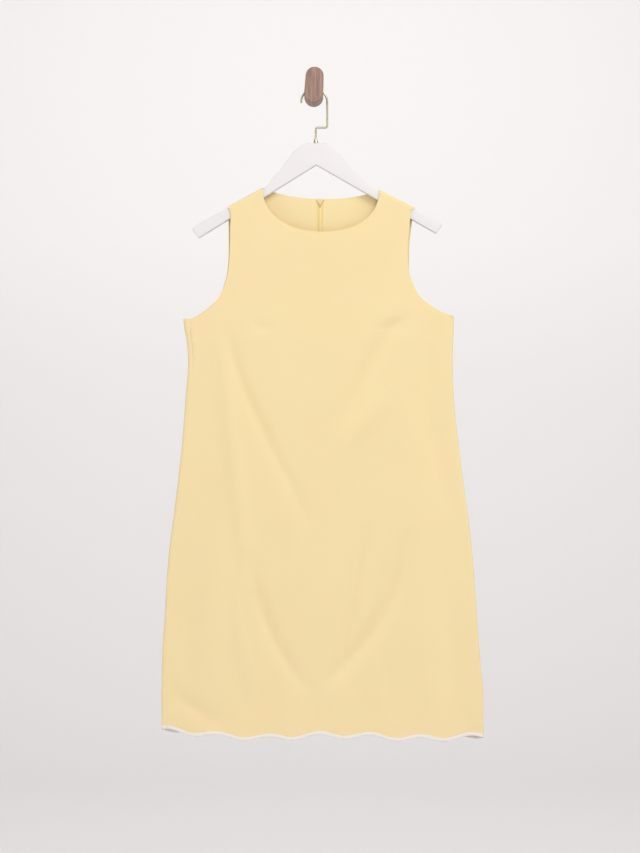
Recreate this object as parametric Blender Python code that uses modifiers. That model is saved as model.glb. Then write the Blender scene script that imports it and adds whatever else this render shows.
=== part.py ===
"""Sleeveless A-line mini dress on a flat wooden hanger, hooked over a wooden wall peg.

Sizes are in millimetres here and turned to metres as each mesh is made. The origin is the middle
of the peg's flat back, on the wall. +X is the right of the front view, -Y points out of the wall
and +Z is up. The hanger, the hook and the two side edges of the dress lie in one plane, MID_Y.
The cloth is a hollow ring at every height: two faces, joined by a small round turn at each side.
"""

import math

import bmesh
import bpy
from mathutils import Vector

MM = 0.001

# cloth and seams
CLOTH = 1.2                 # wall of a main panel
FACING = 0.9                # wall of the back neck facing
SEAM_GAP = 0.3              # daylight between two pieces that are sewn together
MID_Y = -27.0               # plane of the hanger and of the side edges

# the ring of cloth
SIDE_TURN = 7.0             # radius of the turn at each side edge
SWELL_RUN = 90.0            # distance over which a face swells from its side turn to full depth
PIT_Z = -379.0              # height of the two underarm corners
CENTRE_BACK_X = 9.5
LEFT_SEAM_INSET = 1.5       # the left side seam lies on the front face, this far past the turn
PIT_SEAM_INSET = 7.0        # the same, where the underarm corner flares out
PIT_FLARE = 30.0            # height over which the corner flares
RIGHT_SEAM_INSET = 3.0      # the right side seam lies on the back face

# hanger, in its own upright frame about the notch under its neck, then tilted
HANGER_X = 3.4
HANGER_Z = -129.0
HANGER_TILT = math.radians(1.1)
HANGER_THICK = 11.0
HANGER_ROUND = 2.0
ARM_REACH = 204.3
ARM_TOP_SLOPE = 0.525
ARM_UNDER_SLOPE = 0.598
ARM_TOP_AT_NECK = -37.0     # height of the arm's top edge where the straight stretch starts
ARM_STRAIGHT_FROM = 88.0
ARM_END_LEAN = 10.8         # an arm's lower corner lies this far in from its upper one
CLOTH_OVER_ARM = 2.7        # the shoulder line lies this far above the arm's top edge

# where the dress sits on the arms, as distances from the hanger's middle
NECK_LEFT, TIP_LEFT = 88.0, 146.0
NECK_RIGHT, TIP_RIGHT = 102.0, 159.5
SHOULDER_ROUND_Z = 5.0      # height of the cloth's turn over the arm
SHOULDER_ROWS = (5.0, 1.5, 0.35, 0.0)       # rows of places this far under the shoulder line
NECK_CORNER = (0.7, 2.2, 6.0, 14.0)         # columns this far along the neckline from its ends
NECK_LEAN = math.radians(30)
NECK_LEAN_RUN = 45.0
LEFT_MARKS = (-106.0, -88.0)    # where the columns of a neck corner stand at the underarm
RIGHT_MARKS = (128.0, 110.0)

# neckline and hem
FRONT_NECK_DROP = 71.0
FRONT_NECK_POWER = 2.2      # of the superellipse that the front neckline follows
BACK_NECK_DROP = 15.5
BACK_NECK_POWER = 2.4       # how flat the back neckline is in its middle
SCALLOPS = 13
SCALLOP_CREST_X = 8.0
SCALLOP_DEPTH = 7.0
BINDING_HIGH = 5.0
BINDING_WALL = 0.6
FACING_FOOT_Z = -268.0
FACING_NECK_DROP = 0.6
FACING_ARM_DROP = 9.0       # the facing ends this far under the shoulder seam
FACING_INSET = 1.0
FACING_SLACK = 1.15         # of the drop, since the shoulder line slopes

# zip
ZIP_FOOT_Z = -735.0
ZIP_BELOW_NECK = 2.0
TAPE_WIDE = 4.8
TAPE_WALL = 0.5
COIL_WIDE = 2.2
COIL_WALL = 1.4
SLIDER_Z = -190.0
SLIDER_WIDE = 5.0
SLIDER_HIGH = 8.0
SLIDER_WALL = 1.8
SLIDER_DROP = 1.0           # the slider's middle lies this far under the tab's axis
SLIDER_EDGE = 0.35
LUG_WALL = 1.2
LUG_REACH = 1.9             # from the slider's face to the eye in its lug
LUG_ROUND = 1.7
LUG_ROOT = 0.5              # how deep the lug runs into the slider
EYE_R = 1.0
EYE_LONG = 6.0
TAB_WIDE = 5.6
TAB_LONG = 21.0
TAB_WALL = 1.0
TAB_BAR = 1.1
TAB_SIDE = 1.2
TAB_WINDOW = 3.6

# peg and hook
PEG_DEEP = 42.0
PEG_TOP_R = 14.6
PEG_FOOT_R = 15.5
PEG_HALF_HIGH = 29.4
PEG_EDGE = 1.6
SLOT_CUT = 60.0             # size of the block that cuts the slot, well past the peg
SLOT_WIDE = 8.0
SLOT_FLOOR_Z = -14.1
WIRE_R = 1.6
LOOP_R = 21.2
LOOP_Z = -25.6
STEP_Z = -67.5              # height of the hook's square step
STEM_X = 2.6
HOOK_BEND = 3.0             # radius of the step's two corners
LOOP_END = 184              # where the loop ends, in degrees round from its right side
FERRULE_HIGH = 7.0
FERRULE_FOOT_R = 3.8
FERRULE_TOP_R = 2.3

# a row for each level of the dress: its height, its two side edges, and how far the front and
# the back stand from MID_Y in the middle
LEVELS = (
    # z, left, right, front, back
    (-1062, -249, 276, 30.0, 17.0),
    (-1000, -249, 276, 29.0, 16.5),
    (-935, -248, 271, 27.5, 16.0),
    (-870, -244, 266, 26.0, 15.0),
    (-772, -238, 259, 23.0, 14.0),
    (-707, -230, 252, 21.0, 13.0),
    (-642, -222, 243, 19.0, 12.0),
    (-577, -215, 235, 17.5, 11.5),
    (-511, -210, 228, 16.0, 11.0),
    (-446, -205.5, 226, 14.5, 10.5),
    (-413, -208, 227, 14.0, 10.2),
    (-394, -212, 228, 13.0, 10.0),
    (-380, -213, 228, 12.5, 9.8),
    (-300, -213, 228, 9.0, 9.2),
    (-160, -213, 228, 8.2, 9.2),
)

# a row for each level of the armholes: the edges of the front, and of the wider back
ARMHOLES = (
    # z, front left, front right, back left, back right
    (-378, -196, 224, -207, 215),
    (-367, -177, 205, -179, 204),
    (-354, -163, 185, -164, 186),
    (-341, -152, 170, -154, 171.5),
    (-322, -143.5, 160, -147, 162),
    (-300, -137, 152.5, -141.5, 155),
    (-270, -133, 150, -139.5, 155),
    (-240, -132.5, 151.5, -139.5, 157.5),
    (-217, -133, 154, -140, 161),
)

# a row for each place along the hem: the height that the scallops' crests reach there
HEM_LINE = (
    # x, z
    (-245, -1045),
    (-157, -1051),
    (-77, -1055),
    (9, -1051),
    (84, -1052),
    (170, -1056),
    (262, -1056),
)

# a row for each trough pressed into a face: three points along it, its half width and depth
FRONT_FOLDS = (
    # x1, z1, x2, z2, x3, z3, half, deep
    (-134, -405, -105, -560, 8, -720, 20, 3.0),
    (-145, -545, -105, -760, -122, -990, 22, 3.5),
    (-90, -795, -72, -900, -5, -990, 18, 2.5),
    (78, -725, 58, -830, 44, -965, 18, 3.5),
    (144, -730, 124, -810, 116, -890, 16, 2.5),
    (189, -405, 172, -545, 212, -645, 15, 2.5),
    (140, -385, 75, -420, 50, -515, 18, 2.0),
)
BACK_FOLDS = (
    # x1, z1, x2, z2, x3, z3, half, deep
    (-150, -430, -120, -600, -60, -760, 20, 3.0),
    (-130, -700, -112, -860, -126, -1000, 20, 3.0),
    (150, -440, 128, -590, 90, -720, 18, 2.5),
    (120, -690, 112, -850, 132, -1010, 22, 3.5),
    (196, -520, 190, -620, 206, -720, 14, 2.0),
)

# the hanger's upper edge from its flat top to the straight stretch: distance out, height
HANGER_NECK = (
    # out, z
    (13.0, 35.9),
    (20.0, 33.6),
    (28.0, 28.7),
    (36.7, 22.0),
    (46.5, 9.5),
    (58.7, -7.2),
    (73.4, -22.3),
    (82.0, -33.85),
)

# the rounded end of an arm, as steps from its upper corner and then from its lower one
ARM_END_UPPER = (
    # out, z
    (-1.0, -1.0),
    (-1.4, -4.5),
)
ARM_END_LOWER = (
    # out, z
    (2.2, 3.6),
    (-0.4, 0.6),
    (-4.0, 2.6),
)
ARM_END_ROUND = 4.5         # the top edge is straight up to this far from its end

# node colours: sRGB hex, roughness, metallic
FINISHES = {
    "yellow_cloth": ("f8e3af", 0.85, 0.0),
    "yellow_facing": ("f6dda4", 0.85, 0.0),
    "white_binding": ("f4efe6", 0.75, 0.0),
    "yellow_zip": ("f0d48e", 0.55, 0.0),
    "yellow_enamel": ("f0d898", 0.35, 0.2),
    "white_paint": ("efebea", 0.4, 0.0),
    "brass_wire": ("cbb67a", 0.3, 1.0),
    "walnut_wood": ("7d5a4c", 0.5, 0.0),
}

# how the grids are spaced
HEM_EASE = 12.0             # height over which the scallops fade into level rows
BODY_CROWDING = 1.5         # rows crowd towards the underarm
YOKE_CROWDING = 1.9         # and away from it above
TIP_HOLD = 6                # how late a side curve turns to the shoulder tip's own corner
TIP_LOOK = 0.95             # share of an armhole at which its direction at the tip is taken
FOLD_START = 0.1            # share of a half wave at which a fold begins and ends
SIDE_FADE = 20.0            # folds fade out this close to a side turn

# how finely each piece is cut into faces
OUTER_COLUMNS = 7           # from a side edge to the columns of a neck corner
MIDDLE_COLUMNS = 7          # from there to the middle
TURN_COLUMNS = 4            # round a side turn
BODY_ROWS = 16
YOKE_ROWS = 8
FACING_ROWS = 4
FACING_MARKS = 0.9          # the marks of the neck corners, moved in for the facing's foot
ZIP_ROWS = 18
HANGER_NECK_STEPS = 14
FOLD_SAMPLES = 12
NECK_SAMPLES = 400


def clear_scene():
    for old in list(bpy.data.objects):
        bpy.data.objects.remove(old, do_unlink=True)


def hex_to_linear(text):
    values = [int(text[i:i + 2], 16) / 255 for i in (0, 2, 4)]
    linear = [v / 12.92 if v <= 0.04045 else ((v + 0.055) / 1.055) ** 2.4 for v in values]
    return (*linear, 1.0)


def finish(name):
    """The material of that name, made on first use."""
    found = bpy.data.materials.get(name)
    if found:
        return found
    colour, roughness, metallic = FINISHES[name]
    made = bpy.data.materials.new(name)
    made.use_nodes = True
    shader = made.node_tree.nodes["Principled BSDF"]
    shader.inputs["Base Color"].default_value = hex_to_linear(colour)
    shader.inputs["Roughness"].default_value = roughness
    shader.inputs["Metallic"].default_value = metallic
    return made


def collection(name, hidden=False):
    made = bpy.data.collections.new(name)
    bpy.context.scene.collection.children.link(made)
    made.hide_render = hidden
    return made


def add_object(name, data, finish_name, group):
    made = bpy.data.objects.new(name, data)
    made.data.materials.append(finish(finish_name))
    group.objects.link(made)
    return made


def mesh_from_grid(name, points):
    """An open sheet whose faces join the rows and columns of a grid of points in millimetres."""
    columns = len(points[0])
    sheet = bmesh.new()
    corners = [[sheet.verts.new(Vector(p) * MM) for p in row] for row in points]
    for low, high in zip(corners, corners[1:]):
        for i in range(columns - 1):
            sheet.faces.new((low[i], low[i + 1], high[i + 1], high[i]))
    mesh = bpy.data.meshes.new(name)
    sheet.to_mesh(mesh)
    sheet.free()
    mesh.shade_smooth()
    return mesh


def through(rows, column):
    """A smooth curve through one column of a table against its first, with no overshoot."""
    rows = sorted(rows)
    xs = [row[0] for row in rows]
    ys = [row[column] for row in rows]
    steps = [(y2 - y1) / (x2 - x1) for x1, x2, y1, y2 in zip(xs, xs[1:], ys, ys[1:])]
    slopes = [steps[0]]
    for before, after in zip(steps, steps[1:]):
        same_way = before * after > 0
        slopes.append(2 * before * after / (before + after) if same_way else 0.0)
    slopes.append(steps[-1])

    def value(x):
        x = min(max(x, xs[0]), xs[-1])
        i = min(sum(1 for known in xs[1:] if x > known), len(steps) - 1)
        run = xs[i + 1] - xs[i]
        t = (x - xs[i]) / run
        ends = ys[i] * (1 + 2 * t) * (1 - t) ** 2 + ys[i + 1] * t * t * (3 - 2 * t)
        bends = run * (slopes[i] * t * (1 - t) ** 2 - slopes[i + 1] * t * t * (1 - t))
        return ends + bends

    return value


LEFT_EDGE, RIGHT_EDGE, FRONT_DEPTH, BACK_DEPTH = (through(LEVELS, c) for c in (1, 2, 3, 4))
HEM_CREST = through(HEM_LINE, 1)


def smooth(t):
    t = min(max(t, 0.0), 1.0)
    return t * t * (3 - 2 * t)


def blend(a, b, t):
    return a + (b - a) * t


def mix(p, q, t):
    return tuple(blend(a, b, t) for a, b in zip(p, q))


def on_hanger(out, height):
    """A point of the hanger's upright frame, as x and z after the tilt."""
    c, s = math.cos(HANGER_TILT), math.sin(HANGER_TILT)
    return HANGER_X + out * c - height * s, HANGER_Z + out * s + height * c


def arm_top(out):
    """Height of an arm's straight top edge, in the hanger's upright frame."""
    return ARM_TOP_AT_NECK - ARM_TOP_SLOPE * (abs(out) - ARM_STRAIGHT_FROM)


def shoulder_point(out):
    return on_hanger(out, arm_top(out) + CLOTH_OVER_ARM)


TIPS = (shoulder_point(-TIP_LEFT), shoulder_point(TIP_RIGHT))
NECKS = (shoulder_point(-NECK_LEFT), shoulder_point(NECK_RIGHT))


def below_shoulders(x, z):
    """Distance of a point under the nearer of the two shoulder lines, both drawn on inwards."""
    nearest = math.inf
    for tip, neck in zip(TIPS, NECKS):
        along = (Vector(neck) - Vector(tip)).normalized()
        offset = Vector((x, z)) - Vector(tip)
        nearest = min(nearest, abs(along.x * offset.y - along.y * offset.x))
    return nearest


def fold_path(row):
    """Points along a fold's curve, with how far along each lies."""
    x1, z1, x2, z2, x3, z3 = row[:6]
    for i in range(FOLD_SAMPLES + 1):
        t = i / FOLD_SAMPLES
        x = x1 * (1 - t) ** 2 + 2 * x2 * t * (1 - t) + x3 * t * t
        z = z1 * (1 - t) ** 2 + 2 * z2 * t * (1 - t) + z3 * t * t
        yield t, x, z


FOLDS = {
    -1: [(list(fold_path(row)), row[6], row[7]) for row in FRONT_FOLDS],
    1: [(list(fold_path(row)), row[6], row[7]) for row in BACK_FOLDS],
}


def pressed_in(x, z, face):
    """How far the folds of a face bring it towards MID_Y at a place."""
    total = 0.0
    for path, half, deep in FOLDS[face]:
        near, t = min((math.hypot(x - px, z - pz), t) for t, px, pz in path)
        fade = math.sin(math.pi * blend(FOLD_START, 1 - FOLD_START, t))
        total += deep * fade * math.exp(-(near / half) ** 2)
    return total


def face_depth(x, z, face):
    """Distance of a face of the ring from MID_Y; face is -1 for the front and 1 for the back."""
    full = FRONT_DEPTH(z) if face < 0 else BACK_DEPTH(z)
    inset = min(x - LEFT_EDGE(z), RIGHT_EDGE(z) - x) - SIDE_TURN
    depth = SIDE_TURN + (full - SIDE_TURN) * smooth(inset / SWELL_RUN)
    depth -= pressed_in(x, z, face) * smooth(inset / SIDE_FADE)
    rounding = min(below_shoulders(x, z) / SHOULDER_ROUND_Z, 1.0)
    if z > PIT_Z and rounding < 1.0:
        depth *= math.sqrt(1 - (1 - rounding) ** 2)
    return max(depth, 1.1 * SEAM_GAP)


def ring_point(s, z, face, inward=0.0):
    """A point of the cloth's outer side, or of a layer further in.

    s is x along the face. Past the face's flat stretch it runs on round the side turn, and then
    back along the other face.
    """
    low, high = LEFT_EDGE(z) + SIDE_TURN, RIGHT_EDGE(z) - SIDE_TURN
    side = 1 if s > high else -1
    past = max(s - high, low - s)
    half_turn = math.pi * SIDE_TURN
    if past <= 0:
        return s, MID_Y + face * (face_depth(s, z, face) - inward), z
    root = high if side > 0 else low
    if past <= half_turn:
        angle = past / SIDE_TURN
        radius = SIDE_TURN - inward
        return root + side * radius * math.sin(angle), MID_Y + face * radius * math.cos(angle), z
    x = root - side * (past - half_turn)
    return x, MID_Y - face * (face_depth(x, z, -face) - inward), z


def turn_end(z, side, inset):
    """The value of s, seen from the face that a side turn starts on, where a side seam lies."""
    root = RIGHT_EDGE(z) - SIDE_TURN if side > 0 else LEFT_EDGE(z) + SIDE_TURN
    return root + side * (math.pi * SIDE_TURN + inset)


def left_inset(z):
    """How far the left side seam lies past the turn, more where the underarm corner flares."""
    return blend(LEFT_SEAM_INSET, PIT_SEAM_INSET, smooth((z - PIT_Z + PIT_FLARE) / PIT_FLARE))


def columns_between(start, stop, count):
    return [blend(start, stop, i / count) for i in range(count + 1)]


def columns_through(marks, counts):
    """Columns from the first mark to the last, with a count of them for each stretch between."""
    columns = marks[:1]
    for start, stop, count in zip(marks, marks[1:], counts):
        columns = columns + columns_between(start, stop, count)[1:]
    return columns


def spread(z, start, stop, marks, counts):
    """Columns between two lines at one height, shared out as they are at the underarm."""
    low, high = start(PIT_Z), stop(PIT_Z)
    columns = columns_through([low, *marks, high], counts)
    return [blend(start(z), stop(z), (s - low) / (high - low)) for s in columns]


def left_flat_end(z):
    return LEFT_EDGE(z) + SIDE_TURN


def right_flat_end(z):
    return RIGHT_EDGE(z) - SIDE_TURN


def left_seam(z):
    return left_flat_end(z) + left_inset(z)


def round_turn(flat_end, side):
    """The columns of a side turn, past the end of the flat stretch."""
    return columns_between(flat_end, flat_end + side * math.pi * SIDE_TURN, TURN_COLUMNS)[1:]


def front_columns(z):
    """s of each column of the front, from the left side seam round to the right one."""
    counts = (OUTER_COLUMNS, len(NECK_CORNER), 2 * MIDDLE_COLUMNS, len(NECK_CORNER), OUTER_COLUMNS)
    marks = (*LEFT_MARKS, *RIGHT_MARKS[::-1])
    flat = spread(z, lambda level: left_seam(level) + SEAM_GAP / 2, right_flat_end, marks, counts)
    stop = turn_end(z, 1, RIGHT_SEAM_INSET) - SEAM_GAP / 2
    return flat + round_turn(flat[-1], 1) + [stop]


def back_left_columns(z):
    """s of each column of the left back, from the centre back round to the left side seam."""
    counts = (MIDDLE_COLUMNS, len(NECK_CORNER), OUTER_COLUMNS)
    flat = spread(z, lambda level: CENTRE_BACK_X - SEAM_GAP / 2, left_flat_end, LEFT_MARKS[::-1], counts)
    stop = turn_end(z, -1, left_inset(z)) + SEAM_GAP / 2
    return flat + round_turn(flat[-1], -1) + [stop]


def back_right_columns(z):
    """s of each column of the right back, from the right side seam in to the centre back."""
    counts = (OUTER_COLUMNS, len(NECK_CORNER), MIDDLE_COLUMNS)
    seam_in = RIGHT_SEAM_INSET + SEAM_GAP / 2
    return spread(z, lambda level: right_flat_end(level) - seam_in,
                  lambda level: CENTRE_BACK_X + SEAM_GAP / 2, RIGHT_MARKS, counts)


def hem_height(s, face):
    """Height of the panels' cut edge at the hem, with its scallops, which run on from the front
    round both sides and meet at the centre back."""
    foot = LEVELS[0][0]
    turn = math.pi * SIDE_TURN
    left, right = LEFT_EDGE(foot) + SIDE_TURN, RIGHT_EDGE(foot) - SIDE_TURN
    around = s
    if face > 0:
        around = 2 * left - turn - s if s < CENTRE_BACK_X else 2 * right + turn - s
    pitch = 2 * (right - left + turn) / SCALLOPS
    phase = math.pi * (around - SCALLOP_CREST_X) / pitch
    return HEM_CREST(ring_point(s, foot, face)[0]) - SCALLOP_DEPTH * math.sin(phase) ** 2


def body_rows(columns_at, face):
    """Rows of places, as s and z, from the hem up to the underarm."""
    foot = LEVELS[0][0]
    edge = [(s, hem_height(s, face)) for s in columns_at(foot)]
    rows = [edge, [(s, z + BINDING_HIGH) for s, z in edge]]
    for i in range(1, BODY_ROWS + 1):
        t = i / BODY_ROWS
        level = blend(foot + HEM_EASE, PIT_Z, 1 - (1 - t) ** BODY_CROWDING)
        row = []
        for j, s in enumerate(columns_at(level)):
            ease = max(0.0, 1 - i / 2)
            row.append((s, level + ease * (rows[1][j][1] - level)))
        rows.append(row)
    return rows


def neckline(t, face):
    """A point of the neckline, for t from -1 at the left neck point to 1 at the right one."""
    x = blend(NECKS[0][0], NECKS[1][0], (t + 1) / 2)
    level = blend(NECKS[0][1], NECKS[1][1], (t + 1) / 2)
    if face < 0:
        return x, level - FRONT_NECK_DROP * (1 - abs(t) ** FRONT_NECK_POWER) ** (1 / FRONT_NECK_POWER)
    return x, level - BACK_NECK_DROP * (1 - abs(t) ** BACK_NECK_POWER)


def neck_run(first, last, count, face):
    """Points along the neckline, closer together beside a neck point, where the cloth turns."""
    angles = columns_between(math.acos(-first), math.acos(-last), NECK_SAMPLES)
    fine = [neckline(-math.cos(a), face) for a in angles]
    gone = [0.0]
    for here, after in zip(fine, fine[1:]):
        gone.append(gone[-1] + math.dist(here, after))
    near = [0.0] + [d for d in NECK_CORNER if abs(first) == 1]
    far = [gone[-1] - d for d in reversed(NECK_CORNER) if abs(last) == 1] + [gone[-1]]
    wide = columns_between(near[-1], far[0], count + 2 - len(near) - len(far))
    run = []
    for distance in near + wide[1:-1] + far:
        i = min(sum(1 for d in gone[1:] if d < distance), len(fine) - 2)
        run.append(mix(fine[i], fine[i + 1], (distance - gone[i]) / (gone[i + 1] - gone[i])))
    return run


def shoulder_run(start, stop, count):
    return [mix(start, stop, i / count) for i in range(count + 1)]


def armhole(column, tip, foot, low=PIT_Z):
    """The curve of an armhole's edge, for v from 0 at a lower level to 1 at the shoulder tip."""
    rows = [(row[0], row[column]) for row in ARMHOLES]
    rows.append((tip[1], tip[0]))
    edge = through(rows, 1)
    start = rows[0][0]

    def place(v):
        z = blend(low, tip[1], v)
        if z < start:
            return blend(foot, edge(start), (z - PIT_Z) / (start - PIT_Z)), z
        return edge(z), z

    return place


def inward_step(x):
    """The step from a top edge into the cloth that ends one millimetre under the shoulder line.

    It leans outwards beside a neck point, where the neckline runs nearly straight down.
    """
    side = -1 if x < (NECKS[0][0] + NECKS[1][0]) / 2 else 1
    neck, tip = (NECKS[0], TIPS[0]) if side < 0 else (NECKS[1], TIPS[1])
    lean = NECK_LEAN * max(0.0, 1 - abs(x - neck[0]) / NECK_LEAN_RUN)
    step = Vector((side * math.sin(lean), -math.cos(lean)))
    along = (Vector(neck) - Vector(tip)).normalized()
    return tuple(step / step.dot(Vector((-side * along.y, side * along.x))))


def sunk(edge, steps, distances):
    """A line of places, each moved along its step by its own distance."""
    return [(x + u * d, z + w * d) for (x, z), (u, w), d in zip(edge, steps, distances)]


def fading(line, reach):
    """Weights that fall from 1 at a line's first place to 0 at the one that reach counts to."""
    start, stop = line[0][0], line[reach][0]
    return [min(max((stop - s) / (stop - start), 0.0), 1.0) for s, _ in line]


def yoke_rows(low, high, left, right, count, reach):
    """Rows of places above a lower line, up to a shaped upper one, between two side curves.

    The bow of a side curve fades over the columns that reach counts in from it, left and right.
    """
    from_left = fading(low, reach[0])
    from_right = fading(low[::-1], reach[1])[::-1]
    rows = []
    for i in range(1, count + 1):
        v = (i / count) ** YOKE_CROWDING
        a = mix(left(v), high[0], v ** TIP_HOLD)
        b = mix(right(v), high[-1], v ** TIP_HOLD)
        pull_a = [p - q for p, q in zip(a, mix(low[0], high[0], v))]
        pull_b = [p - q for p, q in zip(b, mix(low[-1], high[-1], v))]
        row = []
        for start, end, near, far in zip(low, high, from_left, from_right):
            here = mix(start, end, v)
            row.append(tuple(p + near * q + far * r for p, q, r in zip(here, pull_a, pull_b)))
        rows.append(row)
    return rows


def panel_rows(columns_at, face, top, left, right, first, last, reach):
    """All the rows of a main panel, from its hem to its shoulder and neck edges."""
    rows = body_rows(columns_at, face)
    steps = [first] + [inward_step(x) for x, _ in top[1:-1]] + [last]
    top_at = [sunk(top, steps, [d] * len(top)) for d in SHOULDER_ROWS]
    return rows + yoke_rows(rows[-1], top_at[0], left, right, YOKE_ROWS, reach) + top_at[1:]


def panel(name, rows, face, group):
    """A cloth panel through rows of places, as a sheet that Solidify gives its wall."""
    points = [[ring_point(s, z, face) for s, z in row] for row in rows]
    made = add_object(name, mesh_from_grid(name, points), "yellow_cloth", group)
    wall = made.modifiers.new("cloth wall", "SOLIDIFY")
    wall.thickness = CLOTH * MM
    wall.offset = -1
    wall.use_even_offset = True
    return made


def down_along(place, tip):
    return tuple((Vector(place) - Vector(tip)).normalized())


def plumb(x, low, high):
    """A straight upright side edge at x."""
    return lambda v: (x, blend(low, high, v))


def half_neck():
    """How many columns reach one half of the neckline."""
    return MIDDLE_COLUMNS + len(NECK_CORNER)


def front_rows():
    pit = front_columns(PIT_Z)
    left = armhole(1, TIPS[0], pit[0])
    right = armhole(2, TIPS[1], pit[-1])
    right_count = OUTER_COLUMNS + TURN_COLUMNS + 1
    top = shoulder_run(TIPS[0], NECKS[0], OUTER_COLUMNS)[:-1]
    top += neck_run(-1, 1, 2 * half_neck(), -1)
    top += shoulder_run(NECKS[1], TIPS[1], right_count)[1:]
    first, last = down_along(left(TIP_LOOK), TIPS[0]), down_along(right(TIP_LOOK), TIPS[1])
    reach = (OUTER_COLUMNS, right_count)
    return panel_rows(front_columns, -1, top, left, right, first, last, reach)


def neck_place(x):
    """Where on the neckline x lies, from -1 at the left neck point to 1 at the right one."""
    return 2 * (x - NECKS[0][0]) / (NECKS[1][0] - NECKS[0][0]) - 1


def back_top(x, side, shoulder_count):
    """A back's top edge from x, near the centre back, out to the shoulder tip of one side."""
    neck, tip = (NECKS[0], TIPS[0]) if side < 0 else (NECKS[1], TIPS[1])
    run = neck_run(neck_place(x), side, half_neck(), 1)
    return run + shoulder_run(neck, tip, shoulder_count)[1:]


def back_left_rows():
    pit = back_left_columns(PIT_Z)
    count = OUTER_COLUMNS + TURN_COLUMNS + 1
    top = back_top(pit[0], -1, count)
    side = armhole(3, TIPS[0], pit[-1])
    middle = plumb(pit[0], PIT_Z, top[0][1])
    last = down_along(side(TIP_LOOK), TIPS[0])
    return panel_rows(back_left_columns, 1, top, middle, side, (0.0, -1.0), last, (1, count))


def back_right_rows():
    pit = back_right_columns(PIT_Z)
    top = back_top(pit[-1], 1, OUTER_COLUMNS)[::-1]
    side = armhole(4, TIPS[1], pit[0])
    middle = plumb(pit[-1], PIT_Z, top[-1][1])
    first = down_along(side(TIP_LOOK), TIPS[1])
    reach = (OUTER_COLUMNS, 1)
    return panel_rows(back_right_columns, 1, top, side, middle, first, (0.0, -1.0), reach)


def room_under_arm(x, z):
    """How far a place is lowered to clear the stretch where the cloth turns over an arm."""
    return FACING_SLACK * max(0.0, FACING_ARM_DROP - below_shoulders(x, z))


def facing_rows(side):
    """The facing inside one back, whose inner edge leaves room for the zip's tape."""
    x = CENTRE_BACK_X + side * (COIL_WIDE / 2 + TAPE_WIDE + 2.5 * SEAM_GAP)
    column, tip, marks = (3, TIPS[0], LEFT_MARKS) if side < 0 else (4, TIPS[1], RIGHT_MARKS)
    edge = back_top(x, side, OUTER_COLUMNS)
    hole = armhole(column, (tip[0] - side * FACING_INSET, tip[1]), 0.0, FACING_FOOT_Z)

    def side_edge(v):
        out, z = hole(v)
        return out - side * FACING_INSET * (1 - v), z

    stops = [x, marks[1] * FACING_MARKS, marks[0] * FACING_MARKS, side_edge(0)[0]]
    columns = columns_through(stops, (MIDDLE_COLUMNS, len(NECK_CORNER), OUTER_COLUMNS))
    foot = [(s, FACING_FOOT_Z) for s in columns]
    top = [(s, z - FACING_NECK_DROP - room_under_arm(s, z)) for s, z in edge]
    middle = plumb(x, FACING_FOOT_Z, top[0][1])
    rows = [foot] + yoke_rows(foot, top, middle, side_edge, FACING_ROWS, (1, OUTER_COLUMNS))
    return rows if side < 0 else [row[::-1] for row in rows]


def inner_sheet(name, rows, wall, finish_name, group):
    """A piece that lies inside the back, one seam gap in from it."""
    inward = CLOTH + SEAM_GAP
    points = [[ring_point(s, z, 1, inward) for s, z in row] for row in rows]
    made = add_object(name, mesh_from_grid(name, points), finish_name, group)
    solid = made.modifiers.new("wall", "SOLIDIFY")
    solid.thickness = wall * MM
    solid.offset = -1
    return made


def strip_rows(near, far):
    """Rows of a strip down the centre back, between two distances from its line."""
    top = neckline(neck_place(CENTRE_BACK_X), 1)[1] - ZIP_BELOW_NECK
    levels = columns_between(ZIP_FOOT_Z, top, ZIP_ROWS)
    return [[(CENTRE_BACK_X + far, z), (CENTRE_BACK_X + near, z)] for z in levels]


def zip_strips(group):
    half = COIL_WIDE / 2
    inner, outer = half + SEAM_GAP, half + SEAM_GAP + TAPE_WIDE
    inner_sheet("zip_tape_left", strip_rows(-outer, -inner), TAPE_WALL, "yellow_zip", group)
    inner_sheet("zip_tape_right", strip_rows(inner, outer), TAPE_WALL, "yellow_zip", group)
    inner_sheet("zip_coil", strip_rows(-half, half), COIL_WALL, "yellow_zip", group)


def surface_normal(s, z, face):
    """The way out of the cloth at a place, from its slopes along and up the panel."""
    here = Vector(ring_point(s, z, face))
    along = Vector(ring_point(s + 0.5, z, face)) - here
    up = Vector(ring_point(s, z + 0.5, face)) - here
    return (along.cross(up) * -face).normalized()


def binding(name, rows, face, group):
    """A folded strip over the hem's edge, lofted along it with a U for its section."""
    gap, wall = SEAM_GAP, BINDING_WALL
    out, inn = gap + wall, -(CLOTH + gap + wall)
    section = (
        (out, BINDING_HIGH), (out, -gap - wall), (inn, -gap - wall), (inn, BINDING_HIGH),
        (inn + wall, BINDING_HIGH), (inn + wall, -gap), (gap, -gap), (gap, BINDING_HIGH),
    )
    strip = bmesh.new()
    rings = []
    for (s, z), (_, z_up) in zip(*rows[:2]):
        foot, head = Vector(ring_point(s, z, face)), Vector(ring_point(s, z_up, face))
        up = (head - foot).normalized()
        normal = surface_normal(s, z, face)
        rings.append([strip.verts.new((foot + normal * n + up * h) * MM) for n, h in section])
    for ring, after in zip(rings, rings[1:]):
        for i in range(len(section)):
            j = (i + 1) % len(section)
            strip.faces.new((ring[i], ring[j], after[j], after[i]))
    for ring in (rings[0], rings[-1]):
        for corners in ((0, 1, 6, 7), (1, 2, 5, 6), (2, 3, 4, 5)):
            strip.faces.new([ring[c] for c in corners])
    bmesh.ops.recalc_face_normals(strip, faces=strip.faces[:])
    mesh = bpy.data.meshes.new(name)
    strip.to_mesh(mesh)
    strip.free()
    add_object(name, mesh, "white_binding", group)


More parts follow.
